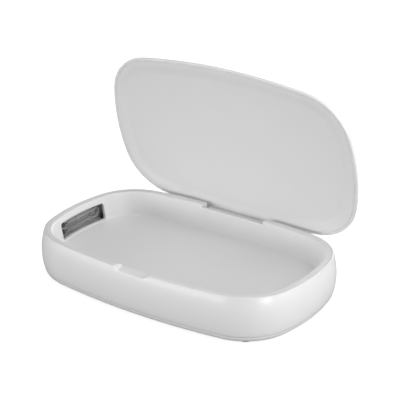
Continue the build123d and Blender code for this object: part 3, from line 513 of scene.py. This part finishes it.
def rubber(name, color):
    """Dull, finely mottled material, for rubber and other dark matt parts."""
    material = Material(name, color, 0.75)
    lighter = tuple(c * 1.5 + 0.01 for c in color)
    material.vary_color(material.noise(scale=700, detail=3), color, lighter)
    material.bump(material.noise(scale=4000, detail=3), distance=0.00003, strength=0.5)
    return material.data


def board_finish(name, color):
    """Solder mask and component bodies: a clear coat over a mottled colour."""
    material = Material(name, color, 0.35, Coat_Weight=0.4)
    lighter = tuple(c * 1.6 + 0.01 for c in color)
    material.vary_color(material.noise(scale=500, detail=1), color, lighter)
    material.bump(material.noise(scale=900, detail=1), distance=0.00002, strength=0.4)
    return material.data


def clear(name, color, roughness, ior):
    """Clear glass or plastic."""
    material = Material(name, color, roughness, IOR=ior, Transmission_Weight=1.0)
    material.vary_roughness(material.noise(scale=300, detail=2), roughness, roughness + 0.04)
    return material.data


MATERIALS = {
    "shell_white": moulded_plastic("shell_white", (0.80, 0.80, 0.80), 0.24, 0.000006, 0.5),
    "liner_white": moulded_plastic("liner_white", (0.735, 0.735, 0.735), 0.42, 0.000014),
    "lid_white": moulded_plastic("lid_white", (0.785, 0.785, 0.785), 0.36, 0.000010, 0.10),
    "cover_white": moulded_plastic("cover_white", (0.86, 0.86, 0.86), 0.30, 0.000008, 0.4),
    "button_plastic": moulded_plastic("button_plastic", (0.76, 0.76, 0.76), 0.34, 0.000010, 0.2),
    "foot_rubber": rubber("foot_rubber", (0.03, 0.03, 0.03)),
    "holder_rubber": rubber("holder_rubber", (0.03, 0.03, 0.03)),
    "reflector_metal": metal("reflector_metal", (0.62, 0.62, 0.62), 0.40, (1, 0.04, 1)),
    "hinge_steel": metal("hinge_steel", (0.60, 0.60, 0.61), 0.30, (20, 1, 1)),
    "screw_steel": metal("screw_steel", (0.58, 0.58, 0.57), 0.35, (4, 4, 4)),
    "socket_metal": metal("socket_metal", (0.66, 0.66, 0.67), 0.28, (1, 12, 1)),
    "magnet_nickel": metal("magnet_nickel", (0.68, 0.67, 0.65), 0.25, (3, 3, 3)),
    "circuit_board": board_finish("circuit_board", (0.02, 0.12, 0.05)),
    "components": board_finish("components", (0.03, 0.03, 0.035)),
    "electrode": rubber("electrode", (0.02, 0.02, 0.02)),
    "transformer_core": rubber("transformer_core", (0.05, 0.05, 0.055)),
    "lamp_quartz": clear("lamp_quartz", (0.95, 0.95, 0.955), 0.03, 1.46),
    "light_pipe_clear": clear("light_pipe_clear", (0.95, 0.97, 1.0), 0.12, 1.49),
}
NODE_SLOTS = {part["node"]: part["material_slot"] for part in frame["record"]["subparts"]}
for node_name, node_object in frame["nodes"].items():
    node_object.data.materials.clear()
    node_object.data.materials.append(MATERIALS[NODE_SLOTS[node_name]])


# ---------------------------------------------------------------------------
# Rim of the base, which shell and tray share
# ---------------------------------------------------------------------------
def rear_roll(point):
    """Lowers the rear rim to the round over the hinge axis."""
    back = point.y - HINGE_Y
    if back <= 0 or point.z < HINGE_Z:
        return point
    top = HINGE_Z + math.sqrt(max(0.0, HINGE_DROP**2 - back**2))
    return Vector((point.x, point.y, min(point.z, top)))


def shape_rim(obj):
    """Rolls the rear rim of obj over the hinge."""
    move_points(obj, rear_roll)
    with editing(obj) as bm:
        weld(bm, RIM_WELD)


def notch_cutter():
    """Prism of the finger notch: it falls outwards from the inner edge of the ring."""
    top = NOTCH_FLOOR_HALF + (NOTCH_INNER_DEPTH + NOTCH_OVER) * NOTCH_SIDE_RUN
    profile = [(-NOTCH_FLOOR_HALF, -NOTCH_INNER_DEPTH), (NOTCH_FLOOR_HALF, -NOTCH_INNER_DEPTH),
               (top, NOTCH_OVER), (-top, NOTCH_OVER)]
    obj = prism("notch", profile, NOTCH_OUT, NOTCH_IN, "Y")
    fall = Matrix.Rotation(math.atan(NOTCH_FALL), 4, "X")
    obj.data.transform(Matrix.Translation((0, RING_INNER - HALF_WIDTH, RIM_Z)) @ fall)
    return obj


def near_notch(point):
    """True for points on the faces that the finger notch leaves."""
    fall = math.atan(NOTCH_FALL)
    back, down = HALF_WIDTH - RING_INNER + point.y, RIM_Z - point.z
    inward = back * math.cos(fall) - down * math.sin(fall)
    depth = down * math.cos(fall) + back * math.sin(fall)
    side = NOTCH_FLOOR_HALF + (NOTCH_INNER_DEPTH - depth) * NOTCH_SIDE_RUN
    on_floor = abs(depth - NOTCH_INNER_DEPTH) < 0.03 and abs(point.x) < NOTCH_FLOOR_HALF + 0.1
    on_side = abs(abs(point.x) - side) < 0.06 and depth < NOTCH_INNER_DEPTH + 0.05
    return inward < NOTCH_IN and down < 4 and (on_floor or on_side)


# ---------------------------------------------------------------------------
# Base shell
# ---------------------------------------------------------------------------
def shell_section():
    """Barrel-shaped wall, outer part of the ring, and the ledge under the tray's flange."""
    outside = [(wall_inset(z), z) for z in spaced(COVER_TOP_Z + SHELL_LIP, RIM_Z - RIM_EDGE, WALL_STEP)]
    top_out = wall_inset(RIM_Z - RIM_EDGE)
    rim = rounded([
        (top_out, RIM_Z - RIM_EDGE),
        (top_out + 0.01, RIM_Z, RIM_EDGE * 0.9),
        (top_out + 0.7, RIM_Z),
        (SEAM_INSET, RIM_Z, SEAM_EDGE),
        (SEAM_INSET, FLANGE_Z + 0.3),
    ], 5, closed=False)[1:]
    ledge_tip, under_z = SEAM_INSET + LEDGE_WIDTH, FLANGE_Z - LEDGE_THICKNESS
    chamfer_z = under_z - (ledge_tip - wall_inset(under_z) - SHELL_WALL)
    ledge = [(SEAM_INSET, FLANGE_Z), (ledge_tip, FLANGE_Z), (ledge_tip, under_z)]
    inside = [(wall_inset(z) + SHELL_WALL, z) for z in spaced(chamfer_z, COVER_TOP_Z, 3.0)]
    lip = [(wall_inset(COVER_TOP_Z) + SHELL_LIP, COVER_TOP_Z),
           (wall_inset(COVER_TOP_Z) + SHELL_LIP / 3, COVER_TOP_Z + SHELL_LIP / 3)]
    return outside + rim + ledge + inside + lip


def near_rear_holes(point):
    """True for points on the edges of the button's hole and the USB-C inlet."""
    at_button = math.hypot(point.x - BUTTON_X, point.z - BUTTON_Z) < BUTTON_HOLE + 0.02
    at_usb = (abs(point.x - USB_X) < USB_WIDTH / 2 + 0.02
              and abs(point.z - USB_Z) < USB_HEIGHT / 2 + 0.02)
    return point.y > 55 and (at_button or at_usb)


shell = swept("shell", shell_section())
shape_rim(shell)
ring_inside, opening_floor = HALF_WIDTH - RING_INNER, HINGE_Z - OPENING_DROP
cut(
    shell,
    prism("opening", circle(HINGE_Y, HINGE_Z, DRUM_RADIUS + HINGE_CLEARANCE, 64),
          -OPENING_HALF, OPENING_HALF, "X"),
    prism("opening_top",
          [(ring_inside, opening_floor), (HALF_WIDTH + BEYOND, opening_floor),
           (HALF_WIDTH + BEYOND, RIM_Z + BEYOND), (ring_inside, RIM_Z + BEYOND)],
          -OPENING_HALF, OPENING_HALF, "X"),
    prism("button_hole", circle(BUTTON_X, BUTTON_Z, BUTTON_HOLE, 64), *REAR_WALL, "Y"),
    prism("pipe_hole", circle(PIPE_X, BUTTON_Z, PIPE_HOLE, 32), *REAR_WALL, "Y"),
    prism("usb_hole", slot_points(USB_X, USB_Z, USB_WIDTH, USB_HEIGHT), *REAR_WALL, "Y"),
    notch_cutter(),
)
bevel_edges(shell, near_rear_holes, HOLE_BEVEL)
bevel_edges(shell, near_notch, NOTCH_BEVEL, 3, NOTCH_SHARP)
finish_piece(shell, "base", MATERIALS["shell_white"], ["base_shell"])


# ---------------------------------------------------------------------------
# Tray liner
# ---------------------------------------------------------------------------
def tray_section():
    """Inner part of the ring, leaning wall, and the edge of the floor, down to its underside."""
    flange_out, strip_end = SEAM_INSET + SEAM_GAP, FLOOR_INSET + FLOOR_STRIP
    top = rounded([
        (flange_out, FLANGE_Z + 0.4),
        (flange_out, RIM_Z, SEAM_EDGE),
        (RING_INNER, RIM_Z, RING_EDGE),
        (FLOOR_INSET, FLOOR_Z, FLOOR_CORNER),
        (strip_end, FLOOR_Z),
    ], 8, closed=False)
    under = [(strip_end, TRAY_BOTTOM_Z), (FLOOR_INSET - TRAY_WALL, TRAY_BOTTOM_Z),
             (tray_inset(FLANGE_Z) - TRAY_WALL, FLANGE_Z), (flange_out, FLANGE_Z)]
    return filled(top, TRAY_STEP)[::-1] + under[::-1]


def near_window(point):
    """True for points on the edges of the windows, on the inside of the tray."""
    inside = abs(point.y) < WINDOW_HALF + 0.03 and WINDOW_LOW_Z - 0.03 < point.z < WINDOW_HIGH_Z + 0.03
    wall_x = math.sqrt((END_RADIUS - tray_inset(point.z)) ** 2 - point.y**2) + END_X
    return inside and abs(abs(point.x) - wall_x) < 0.1


tray = swept("tray", tray_section(), closed=False)
shape_rim(tray)
wall_back = HINGE_Y - BARREL_RADIUS - BARREL_CLEARANCE
wall_top = RIM_Z - NOTCHED_WALL_DROP
wall_foot = HALF_WIDTH - FLOOR_INSET - NOTCHED_WALL_IN
opening = prism(
    "opening",
    [(wall_back - (HINGE_Z - TRAY_BOTTOM_Z) * TRAY_SLOPE, TRAY_BOTTOM_Z),
     (wall_back + (wall_top - HINGE_Z) * TRAY_SLOPE, wall_top),
     (wall_foot, wall_top), (wall_foot, RIM_Z + BEYOND),
     (HALF_WIDTH + BEYOND, RIM_Z + BEYOND), (HALF_WIDTH + BEYOND, TRAY_BOTTOM_Z)],
    -OPENING_HALF, OPENING_HALF, "X")
window_profile = rounded([(y, z, WINDOW_CORNER) for y, z in (
    (-WINDOW_HALF, WINDOW_LOW_Z), (WINDOW_HALF, WINDOW_LOW_Z),
    (WINDOW_HALF, WINDOW_HIGH_Z), (-WINDOW_HALF, WINDOW_HIGH_Z))], 6)
windows = prism("windows", window_profile, -WINDOW_REACH, WINDOW_REACH, "X")
cut(tray, opening, windows, notch_cutter())
bevel_edges(tray, near_window, WINDOW_BEVEL, 3)
bevel_edges(tray, near_notch, NOTCH_BEVEL, 3, NOTCH_SHARP)
finish_piece(tray, "base", MATERIALS["liner_white"], ["tray_liner"])


# ---------------------------------------------------------------------------
# Lamps behind the windows
# ---------------------------------------------------------------------------
def lamp_path(x, start):
    """Middle line of the U-shaped lamp."""
    half = LAMP_PITCH / 2
    low = [(x, y, WINDOW_MIDDLE_Z - half) for y in spaced(start, LAMP_BEND, LAMP_STEP)]
    turn = [(x, y, z) for y, z in circle(LAMP_BEND, WINDOW_MIDDLE_Z, half, 24, -90, 180)]
    high = [(x, y, WINDOW_MIDDLE_Z + half) for y in spaced(LAMP_BEND, start, LAMP_STEP)]
    return low + turn[1:-1] + high


def sleeve_section(x, z, outer, play, gap):
    """Ring round a lamp leg at (x, z), with a gap in degrees at its -x side."""
    start, sweep = -180 + gap / 2, 360 - gap
    outside = circle(x, z, outer, 28, start, sweep)
    return outside + circle(x, z, LAMP_RADIUS + play, 28, start, sweep)[::-1]


LAMP_X = HALF_LENGTH - tray_inset(WINDOW_MIDDLE_Z) + LAMP_RADIUS + LAMP_SETBACK
LEGS = (WINDOW_MIDDLE_Z - LAMP_PITCH / 2, WINDOW_MIDDLE_Z + LAMP_PITCH / 2)

for side, sign in (("left", -1), ("right", 1)):
    lamp_x = sign * LAMP_X
    glass = tube(f"lamp_{side}", lamp_path(lamp_x, LAMP_START), LAMP_RADIUS)
    bore = tube("bore", lamp_path(lamp_x, LAMP_START + LAMP_SEAL), LAMP_RADIUS - LAMP_GLASS)
    cut(glass, bore)
    finish_piece(glass, "base", MATERIALS["lamp_quartz"], [f"uv_lamp_{side}"])

    x0, x1 = lamp_x - HOLDER_SIDE, lamp_x + HOLDER_SIDE
    z0, z1 = LEGS[0] - HOLDER_HEEL, LEGS[1] + HOLDER_HEEL
    block = rounded([(x, z, HOLDER_CORNER) for x, z in ((x0, z0), (x1, z0), (x1, z1), (x0, z1))], 3)
    holder = prism(f"holder_{side}", block, HOLDER_END, HOLDER_END + HOLDER_THICKNESS, "Y")
    sleeves = []
    for z in LEGS:
        sleeve = sleeve_section(lamp_x, z, SLEEVE_RADIUS, SLEEVE_PLAY, SLEEVE_SLIT)
        sleeves.append(prism("sleeve", sleeve, HOLDER_END + SLEEVE_START, HOLDER_END + SLEEVE_END, "Y"))
    join(holder, sleeves)
    bevel_edges(holder, lambda point: True, HOLDER_BEVEL, least_angle=HOLDER_SHARP)
    finish_piece(holder, "base", MATERIALS["holder_rubber"], [f"lamp_holders_{side}"])

    clips = []
    for y in CLIP_STARTS:
        for z in LEGS:
            section = sleeve_section(lamp_x, z, CLIP_RADIUS, CLIP_PLAY, CLIP_OPENING)
            clip = prism(f"clip_{side}", section, y, y + CLIP_WIDTH, "Y")
            if sign < 0:
                move_points(clip, lambda point: Vector((-2 * LAMP_X - point.x, point.y, point.z)))
                clip.data.flip_normals()
            clips.append(clip)
    join(clips[0], clips[1:])
    finish_piece(clips[0], "base", MATERIALS["reflector_metal"])

    electrodes = []
    for z in LEGS:
        middle = [(lamp_x, LAMP_START + along, z)
                  for along in spaced(ELECTRODE_START, ELECTRODE_END, ELECTRODE_STEP)]
        electrodes.append(tube(f"electrodes_{side}", middle, ELECTRODE_RADIUS, 12))
    join(electrodes[0], electrodes[1:])
    finish_piece(electrodes[0], "base", MATERIALS["electrode"])


# ---------------------------------------------------------------------------
# Lid
# ---------------------------------------------------------------------------
def lid_section():
    """Domed shell of the lid, from the edge of its flat top round to the inside of it."""
    side_z = LID_BOTTOM_Z + LID_SIDE
    rise = LID_TOP_Z - side_z
    centre = LID_INSET + DOME_WIDTH
    turns = [math.radians(a) for a in spaced(90, 180, 3)]
    outer = [(centre + DOME_WIDTH * math.cos(a), side_z + rise * math.sin(a)) for a in turns]
    inner = [(centre + (DOME_WIDTH - LID_WALL) * math.cos(a), side_z + (rise - LID_WALL) * math.sin(a))
             for a in turns[::-3]]
    edge = rounded([outer[-1], (LID_INSET, LID_BOTTOM_Z, LID_EDGE),
                    (LID_INSET + LID_WALL, LID_BOTTOM_Z, SEAM_EDGE), (LID_INSET + LID_WALL, side_z)],
                   6, closed=False)[1:-1]
    return outer + edge + inner


def panel_section():
    """Inner panel of the lid: its rim, the cove that rises from it, and the back."""
    outer, start = LID_INSET + LID_WALL + PANEL_GAP, LID_INSET + PANEL_RIM
    cove = []
    for share in spaced(0, 1, 1 / COVE_STEPS):
        height = COVE_DEPTH * (3 * share**2 - 2 * share**3)
        cove.append((start + PANEL_COVE * share, LID_BOTTOM_Z + height))
    rim = rounded([(outer, LID_BOTTOM_Z + PANEL_SIDE), (outer, LID_BOTTOM_Z, SEAM_EDGE),
                   (start, LID_BOTTOM_Z)], 4, closed=False)[:-1]
    back_z = LID_BOTTOM_Z + PANEL_THICKNESS
    back = [(start + PANEL_COVE, LID_BOTTOM_Z + COVE_DEPTH + PANEL_THICKNESS),
            (start + PANEL_THICKNESS, back_z), (outer, back_z)]
    return cove[::-1] + rim[::-1] + back[::-1]


def knuckle_profile():
    """Knuckle about the hinge axis: barrel in front, drum behind, flat where the lid sits."""
    front = circle(0, 0, BARREL_RADIUS, 16, -90, -90 - math.degrees(math.atan(TRAY_SLOPE)))
    drum = circle(0, 0, DRUM_RADIUS, 40, DRUM_TOP_ANGLE, DRUM_LOW_ANGLE - DRUM_TOP_ANGLE)
    front_y, front_z = front[-1]
    top = LID_BOTTOM_Z - HINGE_Z
    return front + [(front_y + (top - front_z) * TRAY_SLOPE, top), (drum[0][0], top)] + drum


def near_knuckle_top(point):
    """True for points on the knuckle's ends that show behind the ring."""
    return abs(point.x) > KNUCKLE_HALF - 0.1 and point.z > HINGE_Z + 2


lid = swept("lid", lid_section(), closed=False)
finish_piece(lid, "lid", MATERIALS["lid_white"], ["lid_shell"], open_lid=True)

panel = swept("panel", panel_section(), closed=False)
finish_piece(panel, "lid", MATERIALS["lid_white"], ["lid_inner_panel"], open_lid=True)

knuckle = prism("knuckle", [(HINGE_Y + y, HINGE_Z + z) for y, z in knuckle_profile()],
                -KNUCKLE_HALF, KNUCKLE_HALF, "X")
cut(knuckle, prism("pin_bore", circle(HINGE_Y, HINGE_Z, PIN_BORE), -PIN_REACH, PIN_REACH, "X"))
bevel_edges(knuckle, near_knuckle_top, KNUCKLE_BEVEL, 3)
finish_piece(knuckle, "lid", MATERIALS["lid_white"], ["hinge_knuckle"], open_lid=True)

# ---------------------------------------------------------------------------
# Power button and feet
# ---------------------------------------------------------------------------
button_low, button_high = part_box("power_button")
nub_y, cap_y = button_low[1] / MM, button_high[1] / MM
flange_y, dish_radius = nub_y + NUB_LENGTH + FLANGE_THICKNESS, BUTTON_RADIUS - DISH_RIM
button = revolved("button", rounded([
    (0, nub_y), (NUB_RADIUS, nub_y, BUTTON_SOFT_EDGE), (NUB_RADIUS, nub_y + NUB_LENGTH),
    (BUTTON_FLANGE, nub_y + NUB_LENGTH, BUTTON_SOFT_EDGE), (BUTTON_FLANGE, flange_y, BUTTON_SOFT_EDGE),
    (BUTTON_RADIUS, flange_y), (BUTTON_RADIUS, cap_y, BUTTON_EDGE),
    (dish_radius, cap_y, BUTTON_SOFT_EDGE),
    (dish_radius - DISH_SLOPE, cap_y - DISH_STEP, BUTTON_SOFT_EDGE), (0, cap_y - DISH_DEPTH),
], 5, closed=False), BUTTON_X, BUTTON_Z)


def follow_wall(point):
    """Bends the button's face to the curve of the wall."""
    if point.y < flange_y + 0.05:
        return point
    reach = SIDE_RADIUS - wall_inset(BUTTON_Z)
    fall = math.sqrt(reach**2 - (BUTTON_X - BUTTON_RADIUS) ** 2) - math.sqrt(reach**2 - point.x**2)
    return Vector((point.x, point.y - max(0.0, fall), point.z))


move_points(button, follow_wall)
finish_piece(button, "button", MATERIALS["button_plastic"], ["power_button"])

foot_x, foot_y, foot_top = (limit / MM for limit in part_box("rubber_feet")[1])
foot_x, foot_y = foot_x - FOOT_RADIUS, foot_y - FOOT_RADIUS
foot_profile = rounded([
    (0, HOLLOW_DEPTH), (HOLLOW_RADIUS, HOLLOW_DEPTH, HOLLOW_EDGE), (HOLLOW_RADIUS + HOLLOW_SLOPE, 0),
    (FOOT_RADIUS, 0, FOOT_EDGE), (FOOT_RADIUS, foot_top, FOOT_TOP_EDGE), (0, foot_top),
], 5, closed=False)
feet = []
for x, y in ((foot_x, foot_y), (-foot_x, foot_y), (-foot_x, -foot_y), (foot_x, -foot_y)):
    foot = revolved("feet", foot_profile, 0, 0)
    foot.data.transform(Matrix.Translation((x, y, 0)) @ Matrix.Rotation(math.radians(90), 4, "X"))
    feet.append(foot)
join(feet[0], feet[1:])
finish_piece(feet[0], "base", MATERIALS["foot_rubber"], ["rubber_feet"])

# ---------------------------------------------------------------------------
# Camera: its angles and place (mm) are those that fit the photograph
# ---------------------------------------------------------------------------
AZIMUTH, ELEVATION = math.radians(35.54), math.radians(22.98)
DISTANCE, FOCAL_PIXELS, FRAME_PIXELS, SENSOR_WIDTH = 899.25, 1379.78, 400, 36
TARGET_RIGHT, TARGET_UP = 8.82, 52.98

back = Vector((math.sin(AZIMUTH) * math.cos(ELEVATION), -math.cos(AZIMUTH) * math.cos(ELEVATION),
               math.sin(ELEVATION)))
right = Vector((math.cos(AZIMUTH), math.sin(AZIMUTH), 0))
up = back.cross(right)
eye = right * TARGET_RIGHT + up * TARGET_UP + back * DISTANCE + Vector((0, 0, FOOT_HEIGHT))
camera_data = bpy.data.cameras.new("camera")
camera_data.sensor_width = SENSOR_WIDTH
camera_data.lens = FOCAL_PIXELS / FRAME_PIXELS * SENSOR_WIDTH
camera = bpy.data.objects.new("camera", camera_data)
camera.matrix_world = Matrix.Translation(eye * MM) @ Matrix((right, up, back)).transposed().to_4x4()
bpy.context.scene.collection.objects.link(camera)
bpy.context.scene.camera = camera

# ---------------------------------------------------------------------------
# Floor, lights and background, in metres
# ---------------------------------------------------------------------------
FLOOR_HALF = 4.0
FLOOR_GREY = 0.34
GLOW_NEAR, GLOW_FAR = 0.85, 1.0
GLOW_START, GLOW_END = 0.35, 1.0
WORLD_LIGHT = 0.05
SOFTBOX_DISTANCE, SOFTBOX_LOW = 2.6, 0.02
HUNG_DISTANCE, HUNG_SIZE, HUNG_TARGET = 2.4, (1.0, 0.8), (0, 0, 0.03)
SOFTBOXES = (  # name, azimuth in degrees from the front towards +X, width and height, radiance
    ("front", -24, (2.2, 0.8), 5.6),
    ("left", -60, (1.4, 0.7), 4.9),
    ("edge", 74, (1.0, 0.8), 10.0),
    ("right", 112, (1.2, 0.7), 7.6),
    ("back", 188, (2.0, 0.9), 4.5),
)
HUNG_LIGHTS = (  # name, azimuth, elevation, radiance
    ("high_right", 80, 45, 4.8),
    ("high_rear", 130, 30, 2.6),
)
TOP_HEIGHT, TOP_SIZE, TOP_WATTS = 1.3, (1.0, 1.0), 7.8


def white_floor():
    """Pale floor that the camera sees as white, apart from the shadow on it.

    Near the object it glows less than white, so that its shadow shows.
    """
    material = Material("floor", (FLOOR_GREY, FLOOR_GREY, FLOOR_GREY), 0.9)
    path = material.nodes.new("ShaderNodeLightPath")
    reach = material.nodes.new("ShaderNodeVectorMath")
    reach.operation = "LENGTH"
    material.links.new(material.coordinates.outputs["Object"], reach.inputs[0])
    level = material.nodes.new("ShaderNodeMapRange")
    level.interpolation_type = "SMOOTHSTEP"
    material.fill(level, From_Min=GLOW_START, From_Max=GLOW_END, To_Min=GLOW_NEAR, To_Max=GLOW_FAR)
    material.links.new(reach.outputs["Value"], level.inputs["Value"])
    glow = material.nodes.new("ShaderNodeMath")
    glow.operation = "MULTIPLY"
    material.links.new(path.outputs["Is Camera Ray"], glow.inputs[0])
    material.links.new(level.outputs["Result"], glow.inputs[1])
    material.fill(material.shader, Emission_Color=(1, 1, 1, 1))
    material.links.new(glow.outputs["Value"], material.shader.inputs["Emission Strength"])
    return material.data


def area_light(name, place, target, size, power):
    """Rectangular light at a place, aimed at a target; power is in watts."""
    data = bpy.data.lights.new(name, "AREA")
    data.shape = "RECTANGLE"
    data.size, data.size_y = size
    data.energy = power
    obj = bpy.data.objects.new(name, data)
    bpy.context.scene.collection.objects.link(obj)
    obj.location = place
    obj.rotation_euler = (Vector(target) - Vector(place)).to_track_quat("-Z", "Y").to_euler()


def watts(size, radiance):
    """Power of a rectangular light that shines at a radiance."""
    return radiance * math.pi * size[0] * size[1]


floor_mesh = bmesh.new()
bmesh.ops.create_grid(floor_mesh, x_segments=1, y_segments=1, size=FLOOR_HALF)
floor = new_object("floor", floor_mesh)
floor.data.materials.append(white_floor())

for name, azimuth, size, radiance in SOFTBOXES:
    turn = math.radians(azimuth)
    height = SOFTBOX_LOW + size[1] / 2
    place = (SOFTBOX_DISTANCE * math.sin(turn), -SOFTBOX_DISTANCE * math.cos(turn), height)
    area_light(name, place, (0, 0, height), size, watts(size, radiance))
for name, azimuth, elevation, radiance in HUNG_LIGHTS:
    turn, lift = math.radians(azimuth), math.radians(elevation)
    place = (HUNG_DISTANCE * math.cos(lift) * math.sin(turn),
             -HUNG_DISTANCE * math.cos(lift) * math.cos(turn), HUNG_DISTANCE * math.sin(lift))
    area_light(name, place, HUNG_TARGET, HUNG_SIZE, watts(HUNG_SIZE, radiance))
area_light("top", (0, 0, TOP_HEIGHT), (0, 0, 0), TOP_SIZE, TOP_WATTS)

world = bpy.data.worlds.new("world")
bpy.context.scene.world = world
world.use_nodes = True
nodes, links = world.node_tree.nodes, world.node_tree.links
background = nodes["Background"]
background.inputs["Color"].default_value = (1, 1, 1, 1)
world_path = nodes.new("ShaderNodeLightPath")
world_strength = nodes.new("ShaderNodeMapRange")
world_strength.inputs["To Min"].default_value = WORLD_LIGHT
world_strength.inputs["To Max"].default_value = 1.0
links.new(world_path.outputs["Is Camera Ray"], world_strength.inputs["Value"])
links.new(world_strength.outputs["Result"], background.inputs["Strength"])
bpy.context.scene.view_settings.view_transform = "Standard"
